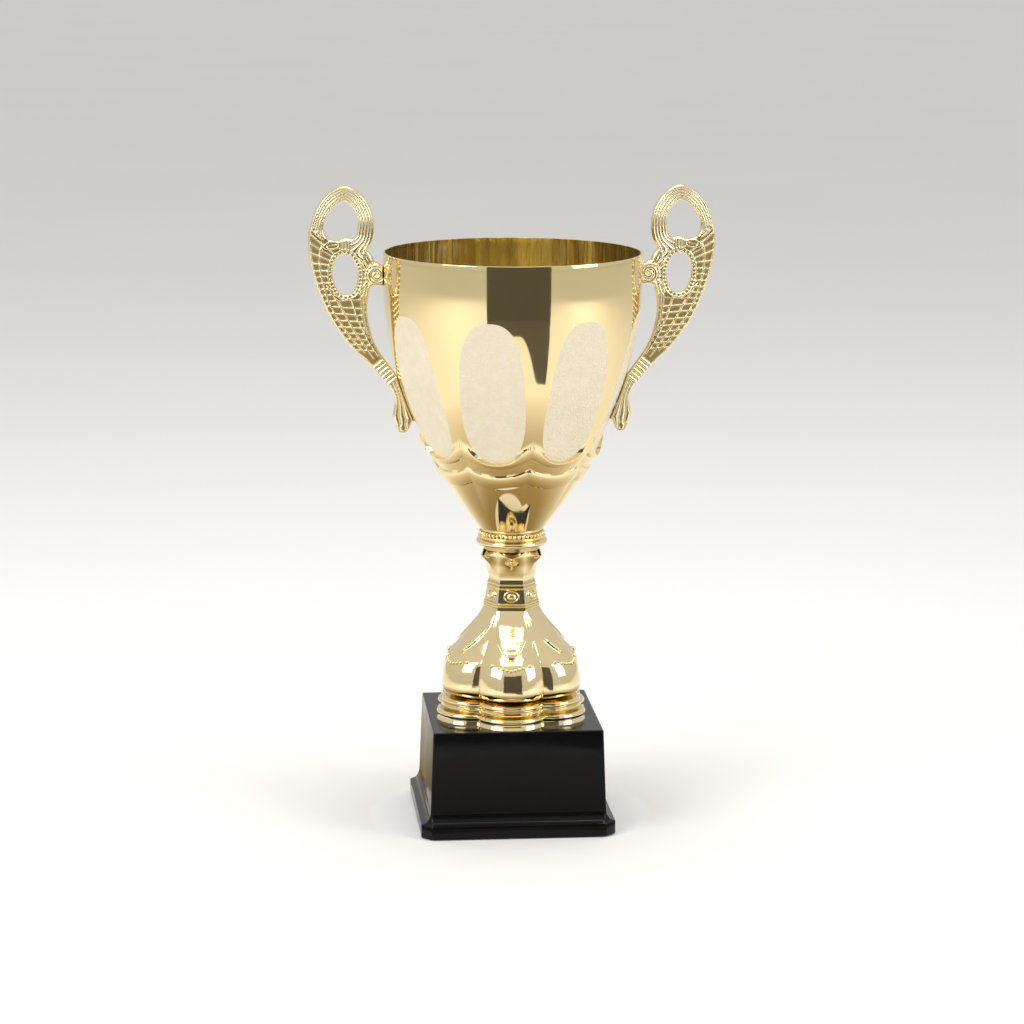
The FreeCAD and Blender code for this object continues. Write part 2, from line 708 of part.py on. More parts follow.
def square(half, corner):
    """Square with its corners cut off at 45 degrees."""
    near = half - corner
    return [(near, -half), (half, -near), (half, near), (near, half),
            (-near, half), (-half, near), (-half, -near), (-near, -half)]


def square_loft(body, name, rows, kind="PartDesign::AdditiveLoft", ruled=True):
    """Skins through square sections given as (height, half width, corner cut)."""
    sections = []
    for number, (height, half, corner) in enumerate(rows):
        section_name = "%s_%d" % (name, number)
        height_name = size(section_name + "_height", height)
        sections.append(polygon_section(body, section_name, height, square(half, corner), height_name))
        sections[-1].Visibility = False
    loft = body.newObject(kind, name)
    loft.Profile = sections[0]
    loft.Sections = sections[1:]
    loft.Ruled = ruled
    return loft


foot_half = value_of["foot_half"]
foot_top = value_of["foot_height"]
low_half = value_of["plinth_low_half"]
low_z = value_of["plinth_low_height"]
top_half = value_of["plinth_top_half"]
clear = value_of["rim_clearance"]
cut = value_of["foot_corner"]
sharp = value_of["body_corner"]


def cove(height):
    """Half width and corner of the hollow moulding between foot and plinth body."""
    share = (low_z - height) / (low_z - foot_top)
    out = 1 - math.sqrt(1 - share ** 2)
    return (height, low_half + (foot_half - low_half) * out, sharp + (cut - sharp) * out)


edge = value_of["plinth_edge_height"]
edge_low = top - edge


def drafted_block(body, name):
    """Plinth body: a square pad whose four flat sides lean in, with its corners taken off."""
    outline = polygon_section(
        body, name + "_outline", low_z, square_corners(low_half), "dims.plinth_low_height")
    block = body.newObject("PartDesign::Pad", name + "_block")
    block.Profile = outline
    block.setExpression("Length", "dims.plinth_top - dims.plinth_edge_height - dims.plinth_low_height")
    outline.Visibility = False
    doc.recompute()
    sides = []
    for number, face in enumerate(block.Shape.Faces, 1):
        normal = face.normalAt(0, 0)
        if abs(normal.z) < 0.5:
            sides.append("Face%d" % number)
        elif normal.z < 0:
            underside = "Face%d" % number
    lean = body.newObject("PartDesign::Draft", name + "_lean")
    lean.Base = (block, sides)
    lean.NeutralPlane = (block, [underside])
    lean.setExpression(
        "Angle", "atan((dims.plinth_low_half - dims.plinth_top_half)"
        " / (dims.plinth_top - dims.plinth_edge_height - dims.plinth_low_height))")
    doc.recompute()
    if lean.Shape.isNull() or lean.Shape.Volume >= block.Shape.Volume:
        raise RuntimeError("the plinth's sides don't lean in")
    upright = []
    for number, corner in enumerate(lean.Shape.Edges, 1):
        if corner.BoundBox.ZLength > 1:
            upright.append("Edge%d" % number)
    bevel = body.newObject("PartDesign::Chamfer", name)
    bevel.Base = (lean, upright)
    bind(bevel, "Size", "body_corner")
    body.Tip = bevel


shell = new_body("plinth_shell")
drafted_block(shell, "plinth_body")
square_loft(shell, "plinth_foot", [(clear, foot_half - 0.1, cut), (foot_top, foot_half, cut)])
square_loft(shell, "plinth_cove", [cove(foot_top + (low_z - foot_top) * n / 6) for n in range(7)])
square_loft(shell, "plinth_top_edge", [
    (edge_low, top_half, sharp), (top - 0.25, top_half - 0.2, sharp),
    (top, top_half - edge, sharp)])
ledge = value_of["board_ledge"]
board_half = value_of["board_half"]
square_loft(shell, "board_rebate", [
    (clear - 1, board_half + 0.2, cut), (ledge, board_half + 0.2, cut)], "PartDesign::SubtractiveLoft")
cavity_top = top - value_of["shell_top_wall"]
square_loft(shell, "plinth_hollow", [
    (ledge - 0.5, 51.2, 2.0), (cavity_top, 49.4, 2.0)], "PartDesign::SubtractiveLoft")
rod_hole(shell, cavity_top - 1, top + 1)

ballast = new_body("ballast_plate")
ballast_low = cavity_top - value_of["ballast_thickness"]
square_loft(ballast, "ballast_block", [
    (ballast_low, value_of["ballast_half"], 6.0), (cavity_top, value_of["ballast_half"], 6.0)])
rod_hole(ballast, ballast_low - 1, cavity_top + 1)

spread_washer = new_body("spread_washer")
spread_low = ballast_low - value_of["spread_washer_thickness"]
revolve(spread_washer, "spread_ring", *ring_profile(
    bore, value_of["spread_washer_radius"], spread_low, ballast_low))
lock_washer = new_body("lock_washer")
lock_low = spread_low - value_of["lock_washer_thickness"]
revolve(lock_washer, "lock_ring", *ring_profile(
    bore, value_of["lock_washer_radius"], lock_low, spread_low))
gap_cut = polygon_section(lock_washer, "lock_split_outline", lock_low, [
    (2.0, -0.4), (8.0, -0.4), (8.0, 0.4), (2.0, 0.4)])
split = lock_washer.newObject("PartDesign::Pocket", "lock_split")
split.Profile = gap_cut
split.SideType = "Symmetric"
split.Length = 6.0

rod_nut = new_body("rod_nut")
nut_low = lock_low - value_of["nut_height"]
nut_blank(rod_nut, nut_low, lock_low)
cylinder_cut(rod_nut, "rod_nut_thread", "rod_radius", value_of["nut_height"] + 2,
             FreeCAD.Placement(FreeCAD.Vector(0, 0, nut_low - 1), FreeCAD.Rotation()))

rod = new_body("tie_rod")
radius = value_of["rod_radius"]
rod_low = value_of["rod_bottom"]
rod_high = value_of["rod_top"]
revolve(rod, "rod_turned", (0.0, rod_low), [
    (radius - 0.8, rod_low), (radius, rod_low + 0.8), (radius, rod_high - 0.8),
    (radius - 0.8, rod_high), (0.0, rod_high), (0.0, rod_low)])

board = new_body("bottom_board")
board_low = ledge - value_of["board_thickness"]
square_loft(board, "board_panel", [(board_low, board_half, cut), (ledge, board_half, cut)])
felt = new_body("felt_pad")
square_loft(felt, "felt_sheet", [
    (0.0, value_of["felt_half"], cut), (value_of["felt_thickness"], value_of["felt_half"], cut)])

# ---------------------------------------------------------------- write the parts
doc.recompute()
problems = []
for item in doc.Objects:
    if "Invalid" in item.State or "Error" in item.State:
        problems.append(item.Name + " " + str(item.State))
for node in NODES:
    if node.Shape.isNull() or not node.Shape.isValid():
        problems.append(node.Name + " has no valid shape")
    elif len(node.Shape.Solids) != SOLIDS.get(node.Label, 1):
        problems.append(node.Name + " has %d solids" % len(node.Shape.Solids))
if problems:
    raise RuntimeError("; ".join(problems))
os.makedirs("parts", exist_ok=True)
for node in NODES:
    node.Shape.exportStep("parts/" + node.Label + ".step")
    box = node.Shape.BoundBox
    print("%-22s z %.1f to %.1f  volume %.0f" % (node.Label, box.ZMin, box.ZMax, node.Shape.Volume))
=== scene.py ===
import bpy
import bmesh
import math
import numpy as np
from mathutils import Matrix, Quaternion, Vector, geometry


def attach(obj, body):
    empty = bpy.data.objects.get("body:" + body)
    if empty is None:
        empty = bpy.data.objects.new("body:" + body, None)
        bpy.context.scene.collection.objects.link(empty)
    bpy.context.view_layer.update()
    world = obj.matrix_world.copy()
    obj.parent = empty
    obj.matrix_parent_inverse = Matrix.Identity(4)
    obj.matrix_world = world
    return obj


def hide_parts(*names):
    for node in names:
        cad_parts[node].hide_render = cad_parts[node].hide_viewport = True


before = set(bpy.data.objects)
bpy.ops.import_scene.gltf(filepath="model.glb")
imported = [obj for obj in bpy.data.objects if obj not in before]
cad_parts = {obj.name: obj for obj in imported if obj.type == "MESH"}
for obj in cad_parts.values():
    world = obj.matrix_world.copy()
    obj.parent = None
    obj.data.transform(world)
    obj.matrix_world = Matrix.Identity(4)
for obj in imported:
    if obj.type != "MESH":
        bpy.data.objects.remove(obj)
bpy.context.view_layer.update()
scene = bpy.context.scene
MM = 0.001
MERGE = 0.00001  # metres within which two points are one
BLOCK = 4000  # points measured against a line at a time


# -------------------- small tools
def curve_through(xs, ys, x):
    """Smooth curve through a few points that never overshoots them."""
    xs = np.asarray(xs, float)
    ys = np.asarray(ys, float)
    if xs[0] > xs[-1]:
        xs = xs[::-1]
        ys = ys[::-1]
    step = np.diff(xs)
    slope = np.diff(ys) / step
    tangent = np.zeros(len(xs))
    tangent[0] = slope[0]
    tangent[-1] = slope[-1]
    for n in range(1, len(xs) - 1):
        if slope[n - 1] * slope[n] > 0:
            a = 2 * step[n] + step[n - 1]
            b = step[n] + 2 * step[n - 1]
            tangent[n] = (a + b) / (a / slope[n - 1] + b / slope[n])
    x = np.clip(np.asarray(x, float), xs[0], xs[-1])
    at = np.clip(np.searchsorted(xs, x) - 1, 0, len(xs) - 2)
    t = (x - xs[at]) / step[at]
    return ((1 + 2 * t) * (1 - t) ** 2 * ys[at] + t * (1 - t) ** 2 * step[at] * tangent[at]
            + t * t * (3 - 2 * t) * ys[at + 1] + t * t * (t - 1) * step[at] * tangent[at + 1])


def smoothstep(start, end, x):
    """0 at start and 1 at end, smooth between them; start may be the larger."""
    t = np.clip((x - start) / (end - start), 0, 1)
    return t * t * (3 - 2 * t)


def bump(x):
    """Rounded ridge: 1 at 0, 0 from 1 outwards."""
    return np.sqrt(np.clip(1 - np.square(x), 0, 1))


def segment_distance(points, line, closed):
    """Distance from each point to a polyline, and the line's length up to the nearest place."""
    line = np.asarray(line, float)
    ends = np.roll(line, -1, axis=0) if closed else line[1:]
    starts = line if closed else line[:-1]
    along = ends - starts
    length = np.linalg.norm(along, axis=1)
    before = np.concatenate([[0], np.cumsum(length)[:-1]])
    best = np.full(len(points), 1e9)
    place = np.zeros(len(points))
    for n in range(0, len(points), BLOCK):
        block = points[n:n + BLOCK, None, :]
        t = np.clip(((block - starts) * along).sum(2) / np.maximum(length ** 2, 1e-12), 0, 1)
        gap = np.linalg.norm(block - (starts + t[..., None] * along), axis=2)
        nearest = gap.argmin(1)
        rows = np.arange(len(nearest))
        best[n:n + BLOCK] = gap[rows, nearest]
        place[n:n + BLOCK] = before[nearest] + t[rows, nearest] * length[nearest]
    return best, place


def inside(points, line):
    """Even-odd test against a closed polyline."""
    a = np.asarray(line, float)
    b = np.roll(a, -1, axis=0)
    result = np.zeros(len(points), bool)
    for n in range(0, len(points), BLOCK):
        x = points[n:n + BLOCK, 0:1]
        y = points[n:n + BLOCK, 1:2]
        crosses = (a[:, 1] > y) != (b[:, 1] > y)
        rise = np.where(np.abs(b[:, 1] - a[:, 1]) < 1e-12, 1e-12, b[:, 1] - a[:, 1])
        hit = x < (b[:, 0] - a[:, 0]) * (y - a[:, 1]) / rise + a[:, 0]
        result[n:n + BLOCK] = (crosses & hit).sum(1) % 2 == 1
    return result


def clean_mesh(mesh):
    """Joins doubled points, drops loose ones and turns every face outwards."""
    work = bmesh.new()
    work.from_mesh(mesh)
    bmesh.ops.remove_doubles(work, verts=work.verts, dist=MERGE)
    loose = [vertex for vertex in work.verts if not vertex.link_faces]
    bmesh.ops.delete(work, geom=loose, context="VERTS")
    bmesh.ops.recalc_face_normals(work, faces=work.faces)
    work.to_mesh(mesh)
    work.free()


def add_mesh(name, points, faces, materials, face_material=None, cavity_shade=None, sharp=None):
    mesh = bpy.data.meshes.new(name)
    mesh.from_pydata((np.asarray(points) * MM).tolist(), [], faces)
    for material in materials:
        mesh.materials.append(material)
    if face_material is not None:
        mesh.polygons.foreach_set("material_index", np.asarray(face_material, np.int32))
    mesh.polygons.foreach_set("use_smooth", np.ones(len(mesh.polygons), bool))
    # per-point amount of painted shade, read by the cast gold materials
    if cavity_shade is not None:
        layer = mesh.attributes.new("cavity_shade", "FLOAT", "POINT")
        layer.data.foreach_set("value", np.asarray(cavity_shade, np.float32))
    clean_mesh(mesh)
    mesh.update()
    if sharp:
        mesh.set_sharp_from_angle(angle=math.radians(sharp))
    obj = bpy.data.objects.new(name, mesh)
    scene.collection.objects.link(obj)
    return obj


def grid_faces(rows, columns, first=0, wrap=True):
    """Faces between rows of points. With wrap, the end of a row meets its start."""
    faces = []
    last = columns if wrap else columns - 1
    for row in range(rows - 1):
        for column in range(last):
            a = first + row * columns + column
            b = first + row * columns + (column + 1) % columns
            faces.append((a, b, b + columns, a + columns))
    return faces


def ring_points(radius, angle, height):
    """Cylinder coordinates to points; each argument is an array, or one number for all."""
    radius, angle, height = np.broadcast_arrays(radius, angle, height)
    return np.stack([radius * np.cos(angle), radius * np.sin(angle), height], axis=-1).reshape(-1, 3)


def add_shell(name, rows, material, sharp, shade=None, move=None):
    """Closed shell through rows of points, whose last row meets its first.

    Shade says how deep in a hollow each row lies, which sets its painted shade, and move may turn all the
    points.
    """
    rows = rows + rows[:1]
    points = np.concatenate(rows)
    cavity_shade = None if shade is None else np.repeat(shade + shade[:1], len(rows[0]))
    if move is not None:
        points = move(points)
    return add_mesh(name, points, grid_faces(len(rows), len(rows[0])), [material], cavity_shade=cavity_shade, sharp=sharp)


def finish_piece(obj, slot, *nodes):
    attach(obj, "root")
    if nodes:
        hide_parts(*nodes)
    return obj


# -------------------- materials
def new_material(name, **settings):
    """Material with its nodes. A setting names an input of the shader, with _ for a space."""
    material = bpy.data.materials.new(name)
    material.use_nodes = True
    tree = material.node_tree
    shader = tree.nodes["Principled BSDF"]
    for setting, value in settings.items():
        shader.inputs[setting.replace("_", " ")].default_value = value
    return material, tree, shader


def noise(tree, scale, detail=3.0, roughness=0.5, place=None):
    """Noise over the object's own space, or over the place that is given."""
    if place is None:
        place = tree.nodes.new("ShaderNodeTexCoord").outputs["Object"]
    texture = tree.nodes.new("ShaderNodeTexNoise")
    texture.inputs["Scale"].default_value = scale
    texture.inputs["Detail"].default_value = detail
    texture.inputs["Roughness"].default_value = roughness
    tree.links.new(place, texture.inputs["Vector"])
    return texture.outputs["Fac"]


def ramp(tree, source, low, high, start, end):
    node = tree.nodes.new("ShaderNodeMapRange")
    node.inputs["From Min"].default_value = low
    node.inputs["From Max"].default_value = high
    node.inputs["To Min"].default_value = start
    node.inputs["To Max"].default_value = end
    tree.links.new(source, node.inputs["Value"])
    return node.outputs["Result"]


def multiply_add(tree, source, factor, addend):
    node = tree.nodes.new("ShaderNodeMath")
    node.operation = "MULTIPLY_ADD"
    node.inputs[1].default_value = factor
    tree.links.new(source, node.inputs[0])
    tree.links.new(addend, node.inputs[2])
    return node.outputs["Value"]


def base_colour(tree, shader, factor, first, second):
    """Base colour that runs from the first to the second as the factor goes from 0 to 1."""
    node = tree.nodes.new("ShaderNodeMix")
    node.data_type = "RGBA"
    node.inputs["A"].default_value = (*first, 1)
    node.inputs["B"].default_value = (*second, 1)
    tree.links.new(factor, node.inputs["Factor"])
    tree.links.new(node.outputs["Result"], shader.inputs["Base Color"])


def add_bump(tree, shader, height, strength, distance):
    node = tree.nodes.new("ShaderNodeBump")
    node.inputs["Strength"].default_value = strength
    node.inputs["Distance"].default_value = distance
    tree.links.new(height, node.inputs["Height"])
    tree.links.new(node.outputs["Normal"], shader.inputs["Normal"])


def polished_gold(name, first, second, low, high):
    """Plated metal: slight random change in colour and faint handling haze in the polish."""
    material, tree, shader = new_material(name, Metallic=1.0)
    base_colour(tree, shader, noise(tree, 28.0, 4.0), first, second)
    haze = noise(tree, 140.0, 5.0, 0.6)
    tree.links.new(ramp(tree, haze, 0.35, 0.75, low, high), shader.inputs["Roughness"])
    return material


def cast_gold(name, bright, dark, low, high):
    """Cast and plated metal. Its hollows are duller, and painted shade darkens their colour."""
    material, tree, shader = new_material(name, Metallic=1.0)
    attribute = tree.nodes.new("ShaderNodeAttribute")
    attribute.attribute_name = "cavity_shade"
    # painted shade from the per-point hollow values, plus a faint random change in tone
    drift_and_shade = multiply_add(tree, noise(tree, 90.0, 4.0), 0.18, attribute.outputs["Fac"])
    depth = ramp(tree, drift_and_shade, 0.09, 1.09, 0.0, 1.0)
    # the colour runs to the dark one where the painted shade is deepest
    base_colour(tree, shader, depth, bright, dark)
    tree.links.new(ramp(tree, depth, 0.0, 1.0, low, high), shader.inputs["Roughness"])
    add_bump(tree, shader, noise(tree, 900.0, 2.0), 0.12, 0.0002)
    return material


def mottled(name, first, second, metallic, roughness, *grain):
    """Material with a noise between two colours. Its nodes and the noise come with it."""
    material, tree, shader = new_material(name, Metallic=metallic, Roughness=roughness)
    spots = noise(tree, *grain)
    base_colour(tree, shader, spots, first, second)
    return material, tree, shader, spots


gold = polished_gold("gold_mirror", (0.88, 0.73, 0.42), (0.85, 0.68, 0.36), 0.035, 0.085)
# the second colour of each cast gold is the painted shade deep in its hollows
stem_gold = cast_gold("gold_stem", (0.88, 0.73, 0.42), (0.52, 0.37, 0.13), 0.07, 0.22)
handle_gold = cast_gold("gold_handle", (0.88, 0.77, 0.50), (0.52, 0.41, 0.20), 0.24, 0.45)

# inside of the bowl, with upright drawing marks
drawn, tree, shader = new_material("gold_inside", Metallic=1.0)
coordinates = tree.nodes.new("ShaderNodeTexCoord")
flatten = tree.nodes.new("ShaderNodeMapping")
flatten.inputs["Scale"].default_value = (1.0, 1.0, 0.06)
tree.links.new(coordinates.outputs["Object"], flatten.inputs["Vector"])
streak = noise(tree, 130.0, 3.0, place=flatten.outputs["Vector"])
base_colour(tree, shader, ramp(tree, streak, 0.38, 0.62, 0.0, 1.0), (0.46, 0.32, 0.08), (0.95, 0.87, 0.48))
tree.links.new(ramp(tree, streak, 0.35, 0.65, 0.30, 0.16), shader.inputs["Roughness"])
add_bump(tree, shader, streak, 0.8, 0.0025)

# frosted panels of the bowl
matte, tree, shader = new_material("gold_matte", Metallic=0.35, Roughness=0.55)
speckle = noise(tree, 850.0, 3.0, 0.7)
patch = ramp(tree, noise(tree, 160.0, 4.0, 0.6), 0.3, 0.7, 0.0, 0.5)
base_colour(tree, shader, multiply_add(tree, speckle, 0.5, patch), (0.78, 0.68, 0.50), (0.88, 0.80, 0.64))
add_bump(tree, shader, speckle, 0.8, 0.001)

black, tree, shader = new_material(
    "plinth_gloss", Base_Color=(0.003, 0.003, 0.0035, 1), Specular_IOR_Level=0.16)
smear = noise(tree, 60.0, 5.0, 0.6)
tree.links.new(ramp(tree, smear, 0.35, 0.7, 0.10, 0.20), shader.inputs["Roughness"])
add_bump(tree, shader, noise(tree, 35.0, 2.0), 0.03, 0.001)

zinc, tree, shader, blotch = mottled(
    "zinc_steel", (0.60, 0.60, 0.58), (0.72, 0.72, 0.70), 1.0, 0.3, 300.0, 4.0)
tree.links.new(ramp(tree, blotch, 0.3, 0.7, 0.22, 0.36), shader.inputs["Roughness"])

felt, tree, shader, fuzz = mottled(
    "felt_black", (0.012, 0.012, 0.012), (0.05, 0.05, 0.05), 0.0, 0.95, 1200.0, 3.0, 0.7)
shader.inputs["Sheen Weight"].default_value = 0.3
add_bump(tree, shader, fuzz, 0.6, 0.0006)

board = mottled("hardboard", (0.20, 0.12, 0.06), (0.36, 0.23, 0.13), 0.0, 0.75, 400.0, 5.0, 0.7)[0]
rubber = mottled("gasket_rubber", (0.02, 0.02, 0.02), (0.06, 0.06, 0.06), 0.0, 0.7, 500.0, 3.0)[0]
iron = mottled("raw_iron", (0.08, 0.075, 0.07), (0.2, 0.18, 0.16), 0.8, 0.6, 120.0, 6.0, 0.7)[0]

CARRIED = {
    "handle_screws": zinc, "handle_washers": zinc, "bowl_gasket": rubber, "bowl_washer": stem_gold,
    "dome_nut": stem_gold, "spread_washer": zinc, "lock_washer": zinc, "rod_nut": zinc,
    "tie_rod": zinc, "ballast_plate": iron, "bottom_board": board, "felt_pad": felt}
for node, material in CARRIED.items():
    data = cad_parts[node].data
    data.materials.clear()
    data.materials.append(material)

# -------------------- bowl
# The wall is straight down to STRAIGHT, then an arc of radius BIG that turns by TURN, then one of LOW.
RIM = 80.0
RIM_Z = 357.84
STRAIGHT = 340.0
BIG = 211.0
LOW = 363.0
SHEET = 1.2
SEAT_Z = 185.8
FLOOR_RADIUS = 21.0
FLOOR_FADE = 14.0
ROD_HOLE = 3.3
TURN = math.radians(25.2)
KNEE_Z = STRAIGHT - BIG * math.sin(TURN)
LOW_X = RIM - BIG + (BIG - LOW) * math.cos(TURN)
LOW_Z = STRAIGHT - (BIG - LOW) * math.sin(TURN)
PANELS = 8
SECTOR = 180.0 / PANELS
PANEL_TURN = 29.5
PANEL_Z = 278.8
PANEL_HALF_HEIGHT = 44.4
PANEL_HALF_WIDTH = 20.3
PANEL_SQUARENESS = 2.6
PANEL_TOP = 329.0
PANEL_MIDDLE = np.array([0.0, PANEL_Z])


def wall_radius(z):
    upper = RIM - BIG + np.sqrt(BIG ** 2 - np.square(np.clip(STRAIGHT - z, 0, None)))
    lower = LOW_X + np.sqrt(LOW ** 2 - np.square(LOW_Z - z))
    return np.where(z >= KNEE_Z, upper, lower)


def panel_half_angle(z):
    """Half the angle that a panel spans at each height, from its squarish oval outline."""
    share = np.clip(np.abs(z - PANEL_Z) / PANEL_HALF_HEIGHT, 0, 1)
    return PANEL_HALF_WIDTH * (1 - share ** PANEL_SQUARENESS) ** (1 / PANEL_SQUARENESS) / wall_radius(z)


def panel_radius(theta, z):
    """Facet that is flat across; theta is measured from the panel's middle."""
    return wall_radius(z) * np.cos(panel_half_angle(z)) / np.cos(theta)


# Ledges under the panels, as (lowest height, rise of the cusps above it).
LEDGE_ONE = (231.0, 6.4)
LEDGE_TWO = (216.4, 4.4)


def ledge_height(theta_deg, ledge):
    """Scalloped edge under the panels: low below a panel, cusps between panels."""
    low, rise = ledge
    return low + rise * np.square(np.abs(theta_deg) / SECTOR)


PETAL = 1.2
LIP_ONE = 1.9
LIP_TWO = 1.7
LIP_HEIGHT = 9.0


def swag(drop):
    """Rounded band hanging along a ledge: full just above it and gone higher up."""
    return bump((drop - LIP_HEIGHT * 0.28) / (LIP_HEIGHT * 0.72)) * (drop < LIP_HEIGHT)


def petal_swell(theta_deg, z):
    """The foot of the bowl swells a little below each panel."""
    share = 1 - np.square(theta_deg / SECTOR)
    return PETAL * share * smoothstep(189, 226, z) * (1 - smoothstep(232, 250, z))


def sector_edge(side, upright):
    """Border of one panel's share of the wall, as (degrees from the panel's middle, height)."""
    low = ledge_height(side, LEDGE_ONE)
    across = len(side) - 1
    climb = np.linspace(low[0], PANEL_TOP, upright + 1)
    edge = [(side[n], low[n]) for n in range(across)]
    edge += [(SECTOR, climb[n]) for n in range(upright)]
    edge += [(-side[n], PANEL_TOP) for n in range(across)]
    edge += [(-SECTOR, climb[upright - n]) for n in range(upright)]
    return np.array(edge)


def panel_oval(edge):
    """Where lines from the panel's middle to that border cross the panel's outline."""
    near = np.zeros(len(edge))
    far = np.ones(len(edge))
    for halving in range(30):
        s = (near + far) / 2
        spot = PANEL_MIDDLE + (edge - PANEL_MIDDLE) * s[:, None]
        within = np.abs(np.radians(spot[:, 0])) < panel_half_angle(spot[:, 1])
        near = np.where(within, s, near)
        far = np.where(within, far, s)
    return PANEL_MIDDLE + (edge - PANEL_MIDDLE) * near[:, None]


def sheet_inside(outside):
    """Inner face of the bowl: the outer face drawn in by the sheet, and lifted by it at the floor."""
    radial = np.linalg.norm(outside[:, :2], axis=1)
    scale = np.where(radial > FLOOR_RADIUS, (radial - SHEET) / np.maximum(radial, 1e-6), 1.0)
    within = outside.copy()
    within[:, :2] *= scale[:, None]
    at_rim = outside[:, 2] > RIM_Z - 0.01
    radial = radial[at_rim, None]
    within[at_rim, :2] = outside[at_rim, :2] / radial * (2 * RIM - SHEET - radial)
    low_part = outside[:, 2] < SEAT_Z + FLOOR_FADE
    lift = np.clip(1 - (outside[:, 2] - SEAT_Z) / FLOOR_FADE, 0, 1) * SHEET
    within[low_part, 2] += lift[low_part]
    return within


def build_bowl():
    across = 24
    side = np.linspace(-SECTOR, SECTOR, across + 1)
    edge = sector_edge(side, 36)
    oval = panel_oval(edge)
    points = []
    faces = []
    marks = []

    def put(theta_deg, z, r, turn):
        points.append(ring_points(r, np.radians(theta_deg + turn), z))

    inner_rings = [0.14, 0.28, 0.42, 0.55, 0.67, 0.78, 0.87, 0.94, 0.985, 1.0]
    outer_rings = [0.03, 0.08, 0.16, 0.24, 0.32, 0.40, 0.48, 0.56, 0.64, 0.72, 0.80, 0.87, 0.94, 1.0]
    rings = len(inner_rings) + len(outer_rings)
    count = len(edge)
    for panel in range(PANELS):
        turn = -90 + PANEL_TURN + 2 * SECTOR * panel
        first = sum(len(p) for p in points)
        for share in inner_rings:
            theta, z = (PANEL_MIDDLE + (oval - PANEL_MIDDLE) * share).T
            put(theta, z, panel_radius(np.radians(theta), z), turn)
        for share in outer_rings:
            theta, z = (oval + (edge - oval) * share).T
            swell = LIP_ONE * swag(z - ledge_height(theta, LEDGE_ONE)) + petal_swell(theta, z)
            put(theta, z, wall_radius(z) + swell * min(1.0, share * 3), turn)
        faces += grid_faces(rings, count, first)
        for row in range(rings - 1):
            marks += [1 if row < len(inner_rings) - 1 else 0] * count
        hub = first + rings * count
        put(0.0, PANEL_Z, panel_radius(0.0, PANEL_Z), turn)
        for n in range(count):
            faces.append((hub, first + n, first + (n + 1) % count))
            marks.append(1)
    columns = PANELS * across
    theta = np.tile(side[:-1], PANELS)
    azimuth = np.radians(np.repeat(np.arange(PANELS) * 2 * SECTOR - 90 + PANEL_TURN, across) + theta)

    def rows(heights, radii):
        first = sum(len(p) for p in points)
        for z, r in zip(heights, radii):
            points.append(ring_points(r, azimuth, z))
        faces.extend(grid_faces(len(heights), columns, first))
        marks.extend([0] * (columns * (len(heights) - 1)))

    def petal_rows(low, high, steps, low_lip, high_lip):
        """Wall from the seat or a ledge up to the next ledge, which hangs over it."""
        heights = [low + (high - 0.5 - low) * share for share in np.linspace(0, 1, steps)]
        radii = [wall_radius(z) + petal_swell(theta, z) + low_lip * swag(z - low) for z in heights]
        top = wall_radius(high) + petal_swell(theta, high)
        radii += [top + high_lip * swag(0.0) * share for share in (0.45, 1.0)]
        rows(heights + [high - 0.2, high], radii)

    tops = [PANEL_TOP, 332, 335, 337.5, 340, 344, 349, 354, RIM_Z - 0.45]
    radii = [wall_radius(min(z, 357)) for z in tops]
    rows(tops + [RIM_Z - 0.15, RIM_Z, RIM_Z], radii + [RIM - 0.08, RIM - 0.35, RIM - SHEET / 2])
    ledge_two = ledge_height(theta, LEDGE_TWO)
    petal_rows(ledge_two, ledge_height(theta, LEDGE_ONE), 19, LIP_TWO, LIP_ONE)
    petal_rows(SEAT_Z, ledge_two, 22, 0.0, LIP_TWO)
    hole = sum(len(p) for p in points)
    rows([SEAT_Z] * 3, [ROD_HOLE, 12.0, wall_radius(SEAT_Z)])
    outside = np.concatenate(points)
    total = len(outside)
    all_faces = faces + [tuple(i + total for i in f[::-1]) for f in faces]
    for n in range(columns):
        m = (n + 1) % columns
        all_faces.append((hole + n, hole + m, total + hole + m, total + hole + n))
    bowl = add_mesh("bowl_sheet", np.concatenate([outside, sheet_inside(outside)]), all_faces,
                    [gold, matte, drawn], marks + [2] * len(marks) + [0] * columns, sharp=32)
    return finish_piece(bowl, "gold_mirror", "bowl")


# -------------------- six-lobed stem
STEM_TURN = math.radians(-5.4)
SPIGOT = 9.0
SOCKET = 9.15


def turned(points):
    """Points of a stem casting, turned with it about the upright axis."""
    spots = np.array(points, dtype=float)
    x = spots[:, 0] * math.cos(STEM_TURN) - spots[:, 1] * math.sin(STEM_TURN)
    y = spots[:, 0] * math.sin(STEM_TURN) + spots[:, 1] * math.cos(STEM_TURN)
    return np.stack([x, y, spots[:, 2]], axis=1)


def lobe_angle(phi):
    """Degrees from the nearest lobe middle. One lobe faces the front until the stem is turned."""
    return (np.degrees(phi) + 90 + 30) % 60 - 30


def lobed_radius(theta_deg, crease, lobe):
    """Arc through a lobe's middle and its two creases, or a side that is nearly flat."""
    theta = np.radians(theta_deg)
    flat = crease * math.cos(math.pi / 6)
    swell = lobe - flat
    safe = np.where(np.abs(swell) < 0.05, 0.05, swell)
    centre = (crease ** 2 - lobe ** 2) / (-2 * safe)
    reach = lobe - centre
    arc = centre * np.cos(theta) + np.sqrt(np.clip(reach ** 2 - (centre * np.sin(theta)) ** 2, 0, None))
    straight = flat / np.cos(theta) + swell * np.cos(3 * theta)
    return np.where(swell > 0.05, arc, straight)


def lobed_azimuths(per_lobe):
    """Angles that include every lobe middle and every crease."""
    return np.radians(np.arange(6 * per_lobe) * (60.0 / per_lobe) - 120)


